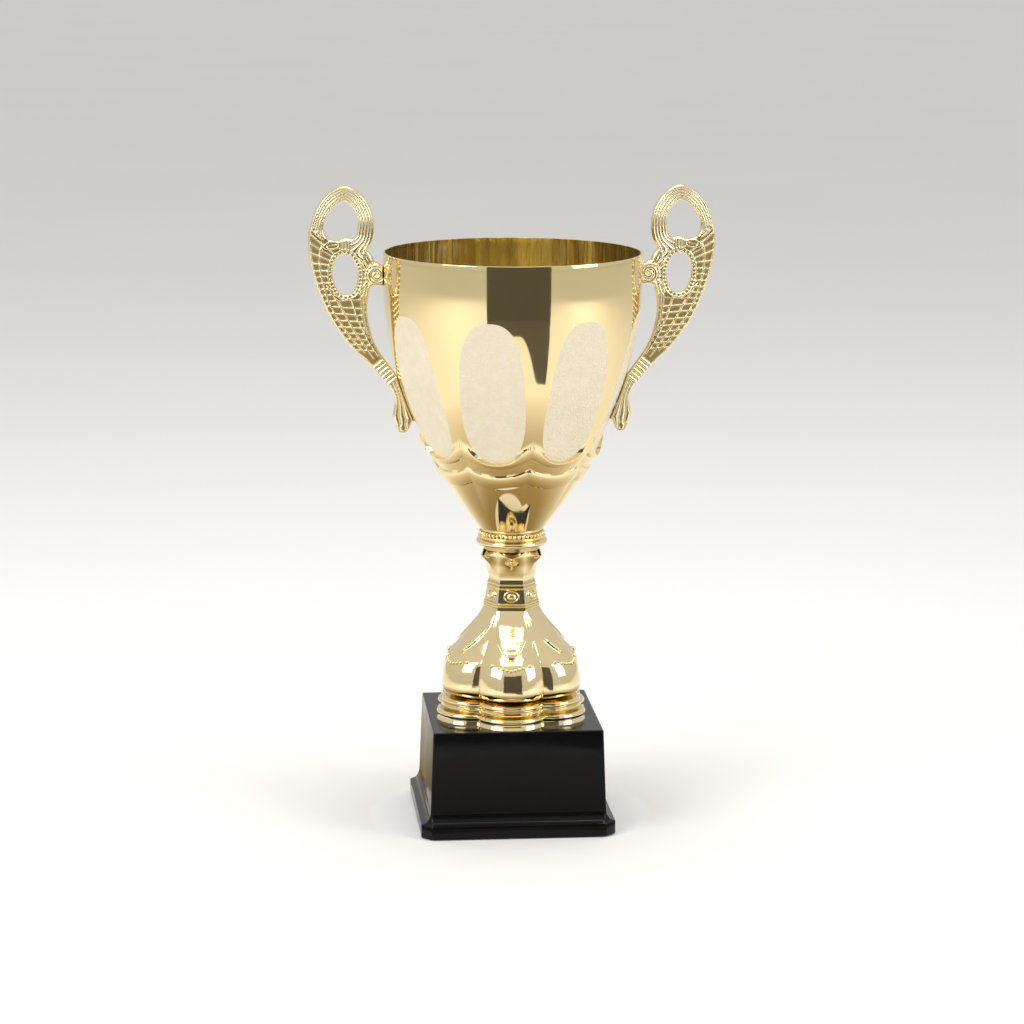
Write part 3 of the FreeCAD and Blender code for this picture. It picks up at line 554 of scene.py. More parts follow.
# Bell as (height, radius at a crease, radius at a lobe).
BELL_SECTIONS = [
    (80.8, 34.0, 38.5), (83.4, 38.8, 44.5), (87.5, 40.4, 46.5), (95.0, 39.8, 45.6),
    (103.0, 37.8, 42.8), (110.0, 33.4, 36.2), (118.0, 28.2, 28.9), (126.0, 22.3, 21.4),
    (134.5, 17.6, 15.6)]
BELL_Z, BELL_CREASE, BELL_LOBE = zip(*BELL_SECTIONS)
# Raised tongue on each lobe, as half widths at these heights.
TONGUE_Z = [108.9, 109.2, 110.2, 112, 115, 119, 124, 129, 134.5]
TONGUE_HALF = [0.3, 1.9, 3.6, 5.1, 6.9, 8.6, 9.2, 8.8, 8.6]


def bell_radius(phi, z):
    theta = lobe_angle(phi)
    crease = curve_through(BELL_Z, BELL_CREASE, z)
    lobe = curve_through(BELL_Z, BELL_LOBE, z)
    radius = lobed_radius(theta, crease, lobe)
    reach = np.abs(radius * np.sin(np.radians(theta)))
    half_width = curve_through(TONGUE_Z, TONGUE_HALF, z)
    rise = np.clip((half_width - reach) / 0.9, 0, 1) * smoothstep(108.6, 109.8, z)
    fade = 1 - smoothstep(123, 133, z)
    tip = np.exp(-np.square((z - 111.5) / 2.6))
    return radius + rise * (0.35 + 0.95 * fade + 0.5 * tip)


def stem_casting(name, phi, levels, sharp, node, move=turned):
    """Closed casting of the stem through levels of (radius, height, depth in a hollow, which sets the painted
    shade).
    """
    rows = [ring_points(radius, phi, height) for radius, height, dim in levels]
    casting = add_shell(name, rows, stem_gold, sharp, [dim for radius, height, dim in levels], move)
    return finish_piece(casting, "gold_cast", node)


def build_bell():
    phi = lobed_azimuths(44)
    heights = np.concatenate([
        np.array([80.8, 81.0, 81.3, 81.7, 82.2, 82.8, 83.4, 84.2, 85.0, 86.0]),
        np.arange(87, 107.5, 1.25), np.arange(107.8, 116, 0.35), np.arange(116, 134.6, 0.9), [134.5]])
    hollow = [
        (SPIGOT, 134.5), (SPIGOT, 137.5), (ROD_HOLE, 137.5), (ROD_HOLE, 129.0), (11.0, 129.0), (15.5, 127.0),
        (24.0, 118.0), (29.5, 110.0), (36.0, 99.0), (36.0, 88.0), (30.0, 84.0), (30.0, 80.8)]
    levels = [(bell_radius(phi, z), z, 0.0) for z in heights] + [(r, z, 0.0) for r, z in hollow]
    return stem_casting("bell_casting", phi, levels, 38, "stem_bell")


def ball(centre, radius, across=12, up=8):
    """Closed faceted ball for a cast bead, as points and faces."""
    points = [(0, 0, radius)]
    for row in range(1, up):
        polar = math.pi * row / up
        for column in range(across):
            angle = 2 * math.pi * column / across
            points.append((radius * math.sin(polar) * math.cos(angle),
                           radius * math.sin(polar) * math.sin(angle), radius * math.cos(polar)))
    points.append((0, 0, -radius))
    faces = []
    for column in range(across):
        following = (column + 1) % across
        faces.append((0, 1 + column, 1 + following))
        for row in range(up - 2):
            a = 1 + row * across
            faces.append((a + column, a + across + column, a + across + following, a + following))
        a = 1 + (up - 2) * across
        faces.append((a + column, len(points) - 1, a + following))
    return np.array(points) + np.asarray(centre), faces


def join_shapes(shapes):
    points = []
    faces = []
    first = 0
    for shape_points, shape_faces in shapes:
        points.append(shape_points)
        faces += [tuple(i + first for i in f) for f in shape_faces]
        first += len(shape_points)
    return np.concatenate(points), faces


def add_cast_row(name, shapes, move=None):
    """Small cast shapes as one piece, with no painted shade in their hollows."""
    points, faces = join_shapes(shapes)
    if move is not None:
        points = move(points)
    piece = add_mesh(name, points, faces, [stem_gold], cavity_shade=np.zeros(len(points)))
    return finish_piece(piece, "gold_cast")


def build_bell_beads():
    """Festoon of beads on each lobe of the bell."""
    shapes = []
    for lobe in range(6):
        for place in (-17.0, -10.8, -7.2, -3.6, 0.0, 3.6, 7.2, 10.8, 17.0):
            phi = math.radians(-90 + 60 * lobe + place)
            z = 102.7 + 2.6 * abs(place) / 20.0
            r = float(bell_radius(phi, z)) + 0.4
            size = 1.35 if abs(place) > 12 else 1.15
            shapes.append(ball((r * math.cos(phi), r * math.sin(phi), z), size))
    return add_cast_row("bell_beads", shapes, turned)


def build_collar_beads(count=44, reach=19.5, height=182.15, size=1.25):
    """Fine row of beads round the collar."""
    turns = [2 * math.pi * n / count for n in range(count)]
    shapes = [ball((reach * math.cos(phi), reach * math.sin(phi), height), size) for phi in turns]
    return add_cast_row("collar_beads", shapes)


def arc_points(centre_r, centre_z, radius, start, end, count):
    angles = np.radians(np.linspace(start, end, count))
    return [(centre_r + radius * math.cos(a), centre_z + radius * math.sin(a)) for a in angles]


def build_collar():
    profile = [(ROD_HOLE, 185.8), (17.4, 185.8)]
    profile += arc_points(17.9, 184.6, 1.2, 80, -75, 9)
    profile += [(18.6, 183.2), (18.8, 182.6), (18.8, 181.4)]
    profile += arc_points(20.4, 180.1, 0.85, 95, -95, 7)
    profile += [(20.2, 178.9)]
    profile += arc_points(20.6, 176.7, 1.75, 85, -80, 11)
    profile += [(19.4, 174.6), (17.4, 174.0), (17.4, 172.0), (SPIGOT, 172.0), (SPIGOT, 169.0)]
    profile += [(ROD_HOLE, 169.0)]
    levels = []
    for r, z in profile:
        # grooves and the underside of the collar get painted shade
        deep = abs(z - 183.2) < 0.3 or abs(z - 178.9) < 0.15 or (z < 174.9 and r > 10) or abs(z - 181.3) < 0.3
        levels.append((r, z, 0.8 if deep else 0.0))
    phi = np.linspace(0, 2 * math.pi, 128, endpoint=False)
    return stem_casting("collar_ring", phi, levels, 40, "collar", None)


# Neck as (height, radius at a corner, radius at the middle of a side).
NECK_SECTIONS = [
    (134.5, 17.6, 15.6), (139.0, 16.8, 14.9), (144.0, 15.9, 14.1), (149.5, 15.0, 13.3),
    (153.6, 14.3, 12.6), (158.5, 15.3, 13.7), (163.0, 16.0, 16.1), (167.0, 16.9, 20.0),
    (169.4, 17.3, 22.8), (172.5, 17.5, 23.2)]
NECK_Z, NECK_VERTEX, NECK_MIDDLE = zip(*NECK_SECTIONS)


def neck_radius(theta, z):
    vertex = curve_through(NECK_Z, NECK_VERTEX, z)
    middle = curve_through(NECK_Z, NECK_MIDDLE, z)
    rounded = lobed_radius(theta, vertex, middle)
    away = np.radians(np.abs(theta))
    pointed = middle * vertex * 0.5 / (middle * np.sin(away) + vertex * np.sin(math.pi / 6 - away))
    share = smoothstep(157, 163, z)
    radius = rounded * (1 - share) + pointed * share
    for level in (136.9, 138.3, 148.0, 150.3):
        radius = radius + 0.5 * bump((z - level) / 0.55)
    return radius


def build_neck():
    phi = lobed_azimuths(32)
    theta = lobe_angle(phi)
    theta = np.where(np.abs(np.abs(theta) - 30) < 0.01, 30.0, theta)
    top = 168.4 + 3.6 * (np.abs(theta) / 30) ** 1.25
    levels = []
    heights = list(np.arange(134.5, 139.2, 0.18)) + list(np.arange(139.5, 147.2, 0.9))
    heights += list(np.arange(147.3, 151.2, 0.18)) + list(np.arange(151.6, 157, 0.6))
    for z in heights:
        # painted shade along the grooves of the neck
        near_line = min(abs(z - line) for line in (137.6, 149.15, 135.9, 139.0, 147.2, 151.0))
        levels.append((neck_radius(theta, z), z, 0.7 if near_line < 0.25 else 0.0))
    for share in np.linspace(0, 1, 22)[1:]:
        z = 156.9 + (top - 156.9) * share
        levels.append((neck_radius(theta, z), z, 0.0))
    edge = neck_radius(theta, top)
    # painted shade growing inwards over the top rim, where the collar sits
    for inward, up, dim in ((0.25, 0.35, 0.0), (0.7, 0.5, 0.0), (1.2, 0.4, 0.1), (1.9, 0.0, 0.4)):
        levels.append((edge - inward, top + up, dim))
    levels += [
        (np.minimum(edge - 2.2, 16.4), 171.2, 0.9), (SOCKET, 171.2, 0.9), (SOCKET, 168.8, 0.0),
        (ROD_HOLE, 168.8, 0.0), (ROD_HOLE, 137.7, 0.0), (SOCKET, 137.7, 0.0), (SOCKET, 134.5, 0.0)]
    return stem_casting("neck_casting", phi, levels, 32, "stem_neck")


def build_cabochons():
    """Oval stones cast on the six sides of the neck, each a dome in a ring."""
    shapes = []
    shades = []
    levels = np.concatenate([np.linspace(0, 0.62, 9), np.linspace(0.66, 1.06, 12)])
    columns = 28
    lean = math.radians(9.0)
    for turn in range(6):
        angle = math.radians(-90 + 60 * turn)
        out = Vector((math.cos(angle), math.sin(angle), 0))
        side = Vector((-math.sin(angle), math.cos(angle), 0))
        normal = out * math.cos(lean) + Vector((0, 0, 1)) * math.sin(lean)
        up = Vector((0, 0, 1)) * math.cos(lean) - out * math.sin(lean)
        centre = out * 14.15 + Vector((0, 0, 143.2))
        points = []
        for level in levels:
            dome = 1.7 * bump(level / 0.66)
            ring = 0.75 * bump((level - 0.9) / 0.14)
            high = max(dome, ring) - (0.6 if level > 1.05 else 0.0)
            for k in range(columns):
                a = 2 * math.pi * k / columns
                spot = centre + side * (4.8 * level * math.cos(a)) + up * (3.65 * level * math.sin(a))
                points.append(spot + normal * high)
            # painted shade in the groove between each dome and its ring
            shades += [0.9 if abs(level - 0.71) < 0.05 else 0.0] * columns
        shapes.append((np.array(points), grid_faces(len(levels), columns)))
    points, faces = join_shapes(shapes)
    stones = add_mesh("cabochons", turned(points), faces, [stem_gold], cavity_shade=shades)
    return finish_piece(stones, "gold_cast")


# Foot ring as (radius at a crease, radius at a lobe, height).
FOOT_ROWS = [
    (30.0, 30.0, 66.4), (42.0, 50.5, 66.4), (41.7, 50.1, 67.2), (41.2, 49.5, 68.6), (41.2, 49.5, 69.4),
    (41.7, 50.1, 69.9), (42.0, 50.4, 71.0), (41.6, 49.9, 72.1), (40.6, 48.7, 72.6), (38.7, 45.8, 72.7),
    (38.3, 45.2, 73.2), (38.5, 45.5, 73.8), (39.3, 46.6, 74.1), (39.7, 47.2, 75.0), (39.5, 46.9, 76.2),
    (38.8, 46.0, 76.7), (38.8, 46.0, 77.0), (39.3, 46.6, 77.5), (39.4, 46.8, 78.6), (39.1, 46.4, 79.6),
    (38.0, 45.1, 80.2), (36.0, 42.0, 80.4), (34.0, 38.5, 80.8), (30.0, 30.0, 80.8)]


def build_foot_ring():
    phi = lobed_azimuths(36)
    theta = lobe_angle(phi)
    table = np.array(FOOT_ROWS)
    dense = []
    for here, after in zip(table, table[1:]):
        dense += [here, (here + after) / 2]
    dense.append(table[-1])
    levels = []
    for crease, lobe, z in dense:
        radius = lobed_radius(theta, crease, lobe) if crease > 30.5 else lobe
        # painted shade in the grooves between the tiers and on the top, in the shadow under the bell
        deep = 72.6 < z < 73.9 or 76.6 < z < 77.1 or z > 80.3
        levels.append((radius, z, 0.8 if deep else 0.0))
    return stem_casting("foot_casting", phi, levels, 42, "foot_ring")


# -------------------- plinth
def square_row(half, corner, rounding, z):
    """One level of the plinth: straight sides and cut corners with small rounded turns."""
    near = half - corner
    turns = [(near, -half), (half, -near), (half, near), (near, half),
             (-near, half), (-half, near), (-half, -near), (-near, -half)]
    points = []
    for n in range(8):
        here = np.array(turns[n])
        before = np.array(turns[n - 1]) - here
        after = np.array(turns[(n + 1) % 8]) - here
        reach = min(rounding, np.linalg.norm(before) / 2.2, np.linalg.norm(after) / 2.2)
        a = here + before / np.linalg.norm(before) * reach
        b = here + after / np.linalg.norm(after) * reach
        for t in (0.0, 0.33, 0.67, 1.0):
            spot = (1 - t) ** 2 * a + 2 * t * (1 - t) * here + t * t * b
            points.append((spot[0], spot[1], z))
    return np.array(points)


def build_plinth():
    corner = 0.9
    step_corner = 6.4
    levels = [(59.9, step_corner, 0.5), (60.3, step_corner, 0.75), (60.45, step_corner, 1.2),
              (60.5, step_corner, 8.3), (60.3, 6.35, 8.75), (59.9, 6.2, 9.0)]
    for n in range(1, 13):
        share = n / 12
        out = 1 - math.sqrt(1 - (1 - share) ** 2)
        levels.append((54.6 + 5.2 * out, corner + 5.3 * out, 9.0 + 8.0 * share))
    for half, z in ((54.55, 17.6), (53.4, 50.0), (52.87, 65.4), (52.75, 65.9), (52.45, 66.25), (51.9, 66.4),
                    (51.0, 66.4)):
        levels.append((half, corner, z))
    rows = [square_row(half, cut, 1.0, z) for half, cut, z in levels]
    bearing = np.arctan2(rows[-1][:, 1], rows[-1][:, 0])
    rows += [ring_points(ROD_HOLE, bearing, z) for z in (66.4, 62.4)]
    hollow = ((49.4, corner, 62.4), (51.2, corner, 4.2), (57.2, step_corner, 4.2), (57.2, step_corner, 0.5))
    rows += [square_row(half, cut, 1.0, z) for half, cut, z in hollow]
    cover = add_shell("plinth_cover", rows, black, 28)
    return finish_piece(cover, "plinth_black", "plinth_shell")


# -------------------- handles
# Outline of the right-hand handle, as (x, z). Two numbers end a straight line and four end an arc.
OUTLINE = [
    (85.9, 374.5), (87.1, 383.2, 91.0, 390.6), (95.6, 395.4, 101.0, 398.2),
    (104.0, 398.7, 107.2, 397.8), (113.7, 394.0, 118.9, 387.9), (122.5, 379.9, 125.2, 370.4),
    (125.6, 363.0, 124.9, 355.0), (122.5, 343.3, 118.2, 331.0), (112.9, 319.0, 105.6, 307.0),
    (98.6, 298.4, 90.6, 290.8), (83.4, 283.0, 76.2, 274.4), (73.6, 269.3, 72.8, 264.0),
    (73.3, 260.4, 74.1, 257.0), (73.5, 253.8, 72.3, 250.8), (68.3, 245.8, 64.0, 249.2),
    (62.6, 253.0), (56.0, 253.0), (64.0, 277.5), (72.0, 281.4), (79.3, 291.6),
    (85.2, 301.0, 88.6, 311.6), (90.2, 322.5, 88.5, 334.4), (87.2, 337.1, 84.8, 337.5),
    (77.0, 337.5), (77.0, 349.6), (81.6, 350.5), (86.0, 352.4), (87.2, 356.0, 90.3, 359.3),
    (87.2, 365.6, 85.9, 374.5)]
LOOP_HOLE = [
    (103.9, 389.8), (99.3, 386.4, 96.1, 381.0), (95.0, 376.5, 95.6, 371.8),
    (96.4, 368.0, 99.4, 366.1), (103.5, 366.7, 107.6, 365.2), (111.0, 365.5, 114.4, 367.0),
    (116.6, 371.6, 115.3, 378.6), (111.2, 385.2, 103.9, 389.8)]
EYE = (103.3, 344.4)
EYE_HALF = (8.05, 12.6)
EYE_LEAN = math.radians(3.9)
EYE_RING_WIDTH = 3.1
EYE_PITS = 30
OUTLINE_SPACING = 0.5
MESH_STEP = 0.42
EDGE_SWELL = 0.32

# Cross ribs as (height at the outer edge, rise per mm inwards).
CROSS_RIBS = [(370.4, -0.88), (364.4, -0.61), (358.4, -0.44), (351.5, -0.1), (346.5, 0.05), (342.7, 0.1)]
CROSS_RIBS += [(339.0 - 3.7 * n, 0.05) for n in range(4)]
CROSS_RIBS += [(level, -0.1) for level in (325.1, 320.8, 316.5, 312.4, 308.6, 304.9, 301.3, 297.8)]
LENGTH_RIBS = [
    [(117.2, 362.3), (118.4, 358.9), (118.9, 353.2), (118.0, 343.6), (115.5, 334.0),
     (113.2, 326.5), (109.5, 319.7), (105.3, 312.9), (101.0, 306.6), (96.2, 301.1), (91.3, 296.1)],
    [(114.7, 337.7), (107.1, 326.5), (103.5, 319.7), (100.4, 314.1), (96.2, 306.6), (91.9, 301.1),
     (85.8, 292.4)],
    [(99.5, 329.0), (97.4, 322.8), (95.6, 316.6), (92.5, 310.4), (88.9, 302.9), (83.4, 294.2)]]
BAND_EDGE = [(82.2, 292.4), (87.7, 301.7), (91.3, 309.1), (93.1, 315.3), (93.7, 322.8), (94.4, 330.9)]
KNOT_BARS = 6
KNOT_START = (75.1, 277.8)
KNOT_STEP = (1.62, 2.18)
KNOT_DIRECTION = math.radians(-38)
SCROLL = (84.4, 344.3)
SCROLL_RADIUS = 6.5
SCROLL_PITCH = 2.9
SCROLL_FOOT = 337.5
LEAF = (89.6, 353.1)
LEAF_DIRECTION = (0.47, 0.88)
CUFF = [
    [(123.8, 373.5), (121.5, 369.9), (119.6, 368.0), (117.2, 366.6)],
    [(121.2, 372.8), (120.3, 370.4), (118.2, 368.9)]]
BLADE = (111.0, 362.6)
BLADE_DIRECTION = (math.cos(math.radians(-10)), math.sin(math.radians(-10)))
LOOP_KNOT_HALF = 3.7


def leaning_oval(grow):
    """Oval eye of the handle, grown by a margin, as four arcs."""
    spots = []
    for number in range(8):
        angle = math.radians(45 + 45 * number)
        x = (EYE_HALF[0] + grow) * math.cos(angle)
        z = (EYE_HALF[1] + grow) * math.sin(angle)
        spots.append((
            EYE[0] + x * math.cos(EYE_LEAN) + z * math.sin(EYE_LEAN),
            EYE[1] - x * math.sin(EYE_LEAN) + z * math.cos(EYE_LEAN)))
    return [spots[0]] + [spots[n] + spots[(n + 1) % 8] for n in (1, 3, 5, 7)]


def trace(outline, spacing):
    """Even points along a closed outline of lines (x, z) and arcs (mid x, mid z, x, z)."""
    points = []
    here = np.array(outline[0][-2:], float)
    for entry in outline[1:] + [outline[0][-2:]]:
        end = np.array(entry[-2:], float)
        chord = np.linalg.norm(end - here)
        if chord < 1e-9:
            continue
        if len(entry) == 2:
            steps = max(1, int(round(chord / spacing)))
            points += [here + (end - here) * n / steps for n in range(steps)]
        else:
            middle = np.array(entry[:2], float)
            a, b = middle - here, end - here
            turn = 2 * (a[0] * b[1] - a[1] * b[0])
            aa, bb = a @ a, b @ b
            centre = here + np.array([b[1] * aa - a[1] * bb, a[0] * bb - b[0] * aa]) / turn
            reach = np.linalg.norm(here - centre)
            start, via, stop = (math.atan2(*(p - centre)[::-1]) for p in (here, middle, end))
            sweep = (stop - start) % (2 * math.pi)
            if (via - start) % (2 * math.pi) > sweep:
                sweep -= 2 * math.pi
            steps = max(2, int(round(abs(sweep) * reach / spacing)))
            for n in range(steps):
                angle = start + sweep * n / steps
                points.append(centre + reach * np.array([math.cos(angle), math.sin(angle)]))
        here = end
    return np.array(points)


def ridge(gap, half_width):
    return bump(gap / half_width)


def stroke(points, places, half_width):
    """Raised line along a few points."""
    gap, _ = segment_distance(points, places, False)
    return ridge(gap, half_width)


def reeds(share, count, low, high):
    """Rounded parallel ridges across a band whose share runs from 0 to 1."""
    return low + (high - low) * np.sqrt(np.abs(np.sin(math.pi * count * share)))


def lattice(points, outer_side):
    """Recessed floor with cross ribs and lengthwise ribs standing on it."""
    x, z = points.T
    ribs = ridge(outer_side - 0.4, 0.9)
    for height, rise in CROSS_RIBS:
        ribs = np.maximum(ribs, 0.92 * ridge((z - height - rise * outer_side) / math.hypot(1, rise), 0.72))
    for line in LENGTH_RIBS:
        ribs = np.maximum(ribs, stroke(points, line, 0.72))
    return -0.8 + 1.2 * ribs


def eye_ring(to_eye, around, length):
    """Ring round the eye: a fine outer rim, and a row of small pits inside it."""
    place = around / length * EYE_PITS
    off = (place - np.floor(place) - 0.5) * length / EYE_PITS
    pit = bump(np.hypot(off / 0.85, (to_eye - 1.4) / 0.8))
    return 0.25 + 0.4 * ridge(to_eye - 2.6, 0.55) - 1.0 * pit


def small_leaf(points, centre, direction, half_width, half_length):
    """Narrow oval leaf with a raised rim and a rib down its middle."""
    x, z = (points - centre).T
    across = x * direction[1] - z * direction[0]
    along = x * direction[0] + z * direction[1]
    reach = np.hypot(across / half_width, along / half_length)
    shape = np.where(reach < 0.66, -0.6 + 0.8 * ridge(across, 0.45), 0.6 * ridge((reach - 0.86) * 2.5, 0.8))
    return shape, reach < 1.1


def loop_reeds(x, z, to_loop, to_edge):
    """Reeds of the loop, down to the cuff outside and to the eye ring inside."""
    share = to_loop / np.maximum(to_loop + to_edge, 1e-6)
    return reeds(share, 5, -0.45, 0.4), (z > 373.4 - (124.5 - x) * 0.75) | ((x < 98.5) & (z > 358.0))


def band_reeds(points, inner_side, to_eye):
    """Reeds down the inner edge, from the scroll to the knot."""
    x, z = points.T
    band_x, band_z = zip(*BAND_EDGE)
    to_band, _ = segment_distance(points, BAND_EDGE, False)
    far_side = np.where(z > 331, to_eye - EYE_RING_WIDTH, to_band)
    share = inner_side / np.maximum(inner_side + far_side, 1e-6)
    on_band = (z > 290) & (z < SCROLL_FOOT) & (x < np.interp(z, band_z, band_x)) & (inner_side < 9)
    return reeds(np.clip(share, 0, 1), 3, -0.5, 0.4), on_band


def with_cuff(relief, points):
    """Adds the cuff at the foot of the loop."""
    x, z = points.T
    cuff = np.zeros(len(points))
    for line in CUFF:
        cuff = np.maximum(cuff, stroke(points, line, 0.8))
    on_cuff = (x > 115.5) & (z > 364) & (z < 375) & (cuff > 0)
    return np.where(on_cuff, np.maximum(relief, -0.6 + 1.1 * cuff), relief)


def scroll_coil(points):
    """Spiral of the scroll at the bowl."""
    x, z = (points - SCROLL).T
    reach = np.hypot(x, z)
    coil = np.abs(np.sin(math.pi * (reach / SCROLL_PITCH + np.arctan2(z, x) / (2 * math.pi))))
    return 1.2 * np.sqrt(coil) * np.clip(reach / 1.2, 0.4, 1), reach < SCROLL_RADIUS


def knot_place(x, z):
    """Place along the knot: 0 on its lowest bar, 1 on the next and so on."""
    normal = (-math.sin(KNOT_DIRECTION), math.cos(KNOT_DIRECTION))
    run = (x - KNOT_START[0]) * normal[0] + (z - KNOT_START[1]) * normal[1]
    return run / (KNOT_STEP[0] * normal[0] + KNOT_STEP[1] * normal[1])


def handle_relief(points, edge, loop, eye):
    """Half thickness of the casting at each point, and how deep in a hollow it lies, which sets its painted
    shade.
    """
    x, z = points.T
    to_edge, _ = segment_distance(points, edge, True)
    to_loop, _ = segment_distance(points, loop, True)
    to_eye, around = segment_distance(points, eye, True)
    top = int(np.argmax(edge[:, 1]))
    bottom = int(np.argmin(edge[:, 1]))
    outer_side, _ = segment_distance(points, edge[top:bottom + 1], False)
    inner_side, _ = segment_distance(points, np.concatenate([edge[bottom:], edge[:top + 1]]), False)
    rim = np.minimum(np.minimum(to_edge, to_loop), to_eye)
    all_round = np.linalg.norm(eye - np.roll(eye, -1, axis=0), axis=1).sum()
    outside_ring = to_eye > EYE_RING_WIDTH
    place = knot_place(x, z)

    # each layer is a shape and the points it covers, and covers the layers before it
    beside_scroll = reeds(inner_side / 6.0, 2.5, -0.5, 0.35), (z >= SCROLL_FOOT) & (z < 358) & (x < 99)
    relief = lattice(points, outer_side)
    for shape, covered in (
            loop_reeds(x, z, to_loop, to_edge), band_reeds(points, inner_side, to_eye), beside_scroll):
        relief = np.where(covered, shape, relief)
    relief = with_cuff(relief, points)
    blade, on_blade = small_leaf(points, BLADE, BLADE_DIRECTION, 2.7, 5.4)
    loop_knot = reeds((x - EYE[0] + LOOP_KNOT_HALF) / (2 * LOOP_KNOT_HALF), 4, -0.3, 0.55)
    on_loop_knot = (np.abs(x - EYE[0]) < LOOP_KNOT_HALF) & (z > 350) & (z < 368)
    bars = -0.6 + 1.25 * np.sqrt(np.abs(np.cos(math.pi * place)))
    on_bars = (place > -0.5) & (place < KNOT_BARS - 0.5) & (z < 295) & (x > 71)
    share = outer_side / np.maximum(outer_side + inner_side, 1e-6)
    tail = reeds(share, 3, -0.55, 0.45) + 0.3 * smoothstep(264, 250, z)
    for shape, covered in (
            (blade, on_blade & outside_ring), (loop_knot, on_loop_knot),
            small_leaf(points, LEAF, LEAF_DIRECTION, 2.1, 4.6), scroll_coil(points),
            (eye_ring(to_eye, around, all_round), ~outside_ring),
            (bars, on_bars), (tail, (place <= -0.5) & (z < 285))):
        relief = np.where(covered, shape, relief)

    # the relief fades out at the rims, where the casting is rounded
    soft = np.clip(rim / 0.8, 0, 1)
    body = 1.4 + 1.0 * np.sqrt(1 - np.square(1 - np.clip(rim / 1.5, 0, 1)))
    # painted shade, deeper down in the recesses of the relief and fading out at the rims
    hollow = np.clip((0.1 - relief) / 0.75, 0, 1) * soft
    return body + relief * soft, hollow


def handle_sheet():
    """Flat triangulation of the handle's outline with both openings left out."""
    edge = trace(OUTLINE, OUTLINE_SPACING)
    edge[:, 0] = np.maximum(edge[:, 0], wall_radius(edge[:, 1]) - 0.1)
    far_enough = np.linalg.norm(edge - np.roll(edge, 1, axis=0), axis=1) > 0.05
    edge = edge[far_enough]
    loop = trace(LOOP_HOLE, OUTLINE_SPACING)
    eye = trace(leaning_oval(0.0), OUTLINE_SPACING)
    columns = np.arange(60, 126, MESH_STEP)
    heights = np.arange(245, 399.5, MESH_STEP * 0.866)
    spots = np.array([(x + (n % 2) * MESH_STEP / 2, z) for n, z in enumerate(heights) for x in columns])
    keep = inside(spots, edge) & ~inside(spots, loop) & ~inside(spots, eye)
    spots = spots[keep]
    for line in (edge, loop, eye):
        gap, _ = segment_distance(spots, line, True)
        spots = spots[gap > 0.27]
    vertices = [Vector(p) for p in np.concatenate([edge, loop, eye, spots])]
    borders = []
    first = 0
    for line in (edge, loop, eye):
        count = len(line)
        borders += [(first + n, first + (n + 1) % count) for n in range(count)]
        first += count
    result = geometry.delaunay_2d_cdt(vertices, borders, [], 1, 1e-6, False)
    flat = np.array([tuple(p) for p in result[0]])
    triangles = np.array([tuple(f) for f in result[2]])
    middle = flat[triangles].mean(axis=1)
    good = inside(middle, edge) & ~inside(middle, loop) & ~inside(middle, eye)
    return flat, triangles[good], edge, loop, eye


def build_handles():
    """Both castings: front and back faces, joined round every edge by a slightly swollen rim."""
    flat, triangles, edge, loop, eye = handle_sheet()
    half_depth, hollow = handle_relief(flat, edge, loop, eye)
    count = len(flat)
    seen = {}
    faces = []
    for a, b, c in triangles.tolist():
        seen.update(dict.fromkeys(((a, b), (b, c), (c, a))))
        faces += [(a, b, c), (c + count, b + count, a + count)]
    swell = np.zeros((count, 2))
    for a, b in seen:
        if (b, a) in seen:
            continue
        along = flat[b] - flat[a]
        swell[[a, b]] += np.array([along[1], -along[0]]) / max(np.linalg.norm(along), 1e-9) * 0.5
        faces.append((b, a, a + 2 * count, b + 2 * count))
        faces.append((b + 2 * count, a + 2 * count, a + count, b + count))
    x, z = flat.T
    swell_x, swell_z = EDGE_SWELL * swell.T
    points = np.concatenate([
        np.stack([x, -half_depth, z], axis=1), np.stack([x, half_depth, z], axis=1),
        np.stack([x + swell_x, np.zeros(count), z + swell_z], axis=1)])
    # painted shade on both faces; the rims get none
    cavity_shade = np.concatenate([hollow, hollow, np.zeros(count)])
    mirrored = [face[::-1] for face in faces]
    for name, side, shape in (("left", -1, mirrored), ("right", 1, faces)):
        handle = add_mesh(
            "handle_casting_" + name, points * (side, 1, 1), shape, [handle_gold], cavity_shade=cavity_shade, sharp=70)
        finish_piece(handle, "gold_cast", "handle_" + name)


build_bowl()
build_bell()
build_bell_beads()
build_collar_beads()
build_collar()
build_neck()
build_cabochons()
build_foot_ring()
build_plinth()
build_handles()

# -------------------- studio
def studio_piece(name, points, faces, material, seen):
    """Piece of the studio. One that isn't seen shows in reflections only."""
    mesh = bpy.data.meshes.new(name)
    mesh.from_pydata(points, [], faces)
    mesh.materials.append(material)
    obj = bpy.data.objects.new(name, mesh)
    scene.collection.objects.link(obj)
    obj.visible_camera = seen
    obj.visible_shadow = seen
    obj.visible_diffuse = seen
    return obj


FLOOR_SIDES = 64
floor_material, tree, shader = new_material("studio_floor", Roughness=0.6)
base_colour(tree, shader, noise(tree, 2.0, 2.0), (0.78, 0.77, 0.75), (0.82, 0.81, 0.79))
turns = np.linspace(0, 2 * math.pi, FLOOR_SIDES, endpoint=False)
ring = [(30 * math.cos(a), 30 * math.sin(a), 0) for a in turns]
floor = studio_piece("studio_floor", ring, [tuple(range(FLOOR_SIDES))], floor_material, True)

card_material, tree, shader = new_material(
    "black_card", Base_Color=(0.09, 0.085, 0.075, 1), Roughness=1.0, Specular_IOR_Level=0.0)
FACING = -95.4  # bearing of the camera, in degrees
CARD_COLUMNS = 40
card_angles = np.linspace(-22, 33, CARD_COLUMNS)
near_edge = 900 - 455 * smoothstep(6, 25, card_angles)
points = []
for reach, height in ((near_edge, 1.5), (1250, 1.5), (1250, 720)):
    rim = ring_points(reach, np.radians(FACING + card_angles), height)
    points += [tuple(float(v) * MM for v in spot) for spot in rim]
card = studio_piece("black_card", points, grid_faces(3, CARD_COLUMNS, wrap=False), card_material, False)

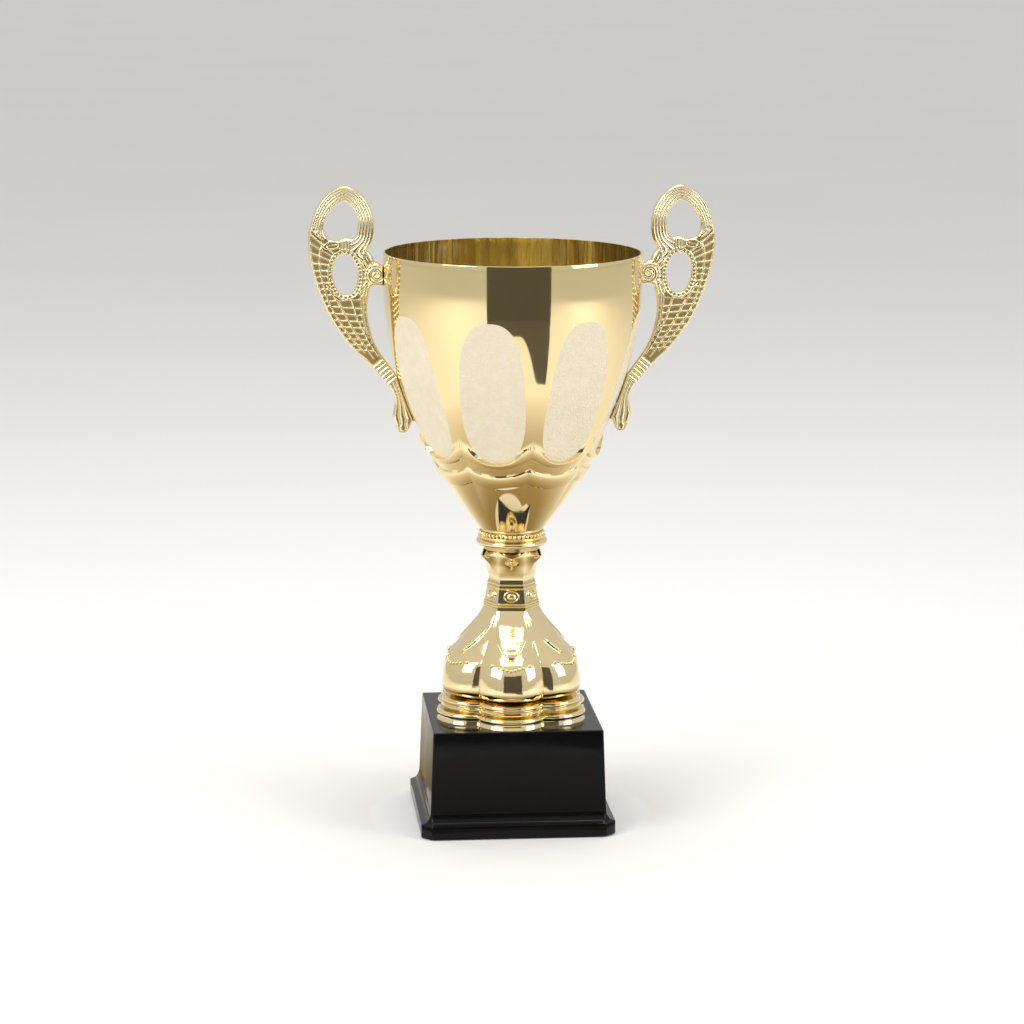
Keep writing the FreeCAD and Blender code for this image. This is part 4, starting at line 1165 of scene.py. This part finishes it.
# tan card on the floor round the plinth: it tones the underside of the bowl
TAN_COLUMNS = 60
tan_material, tree, shader = new_material("tan_card", Roughness=1.0)
coordinates = tree.nodes.new("ShaderNodeTexCoord")
distance = tree.nodes.new("ShaderNodeVectorMath")
distance.operation = "LENGTH"
tree.links.new(coordinates.outputs["Object"], distance.inputs[0])
fade = ramp(tree, distance.outputs["Value"], 0.12, 0.40, 0.0, 1.0)
base_colour(tree, shader, fade, (0.30, 0.22, 0.11), (0.80, 0.79, 0.77))
turns = np.radians(np.linspace(FACING, FACING + 354, TAN_COLUMNS))
ring = [(reach * MM * math.cos(a), reach * MM * math.sin(a), MM) for reach in (90, 410) for a in turns]
tan_card = studio_piece("tan_card", ring, grid_faces(2, TAN_COLUMNS), tan_material, False)


def softbox(name, place, target, width, height, power):
    light = bpy.data.lights.new(name, "AREA")
    light.shape = "RECTANGLE"
    light.size = width
    light.size_y = height
    light.energy = power
    obj = bpy.data.objects.new(name, light)
    obj.location = place
    obj.rotation_euler = (Vector(target) - Vector(place)).to_track_quat("-Z", "Y").to_euler()
    scene.collection.objects.link(obj)
    return obj


softbox("key_left", (-1.5, -1.1, 1.3), (0, 0, 0.22), 1.2, 1.2, 22)
softbox("fill_right", (1.6, -0.9, 1.0), (0, 0, 0.22), 0.9, 1.3, 14)
softbox("top", (0, 0.1, 1.9), (0, 0, 0.2), 1.4, 1.4, 16)

world = bpy.data.worlds.new("studio")
scene.world = world
world.use_nodes = True
tree = world.node_tree
background = tree.nodes["Background"]
coordinates = tree.nodes.new("ShaderNodeTexCoord")
split = tree.nodes.new("ShaderNodeSeparateXYZ")
tree.links.new(coordinates.outputs["Generated"], split.inputs["Vector"])
colour = tree.nodes.new("ShaderNodeValToRGB")
low_sky, high_sky = colour.color_ramp.elements
low_sky.position = 0.42
low_sky.color = (0.80, 0.79, 0.77, 1)
high_sky.position = 0.9
high_sky.color = (0.95, 0.94, 0.92, 1)
tree.links.new(ramp(tree, split.outputs["Z"], -1, 1, 0.0, 1.0), colour.inputs["Fac"])
tree.links.new(colour.outputs["Color"], background.inputs["Color"])
background.inputs["Strength"].default_value = 0.8

camera_data = bpy.data.cameras.new("camera")
camera_data.sensor_width = 36.0
camera_data.lens = 117.16
camera_data.clip_end = 100
camera = bpy.data.objects.new("camera", camera_data)
place = Vector((-0.19179, -2.03629, 0.59071))
target = Vector((0.00014, 0.0, 0.19451))
level = (target - place).to_track_quat("-Z", "Y")
camera.location = place
camera.rotation_mode = "QUATERNION"
camera.rotation_quaternion = level @ Quaternion((0, 0, 1), math.radians(0.23))
scene.collection.objects.link(camera)
scene.camera = camera
scene.view_settings.view_transform = "Standard"
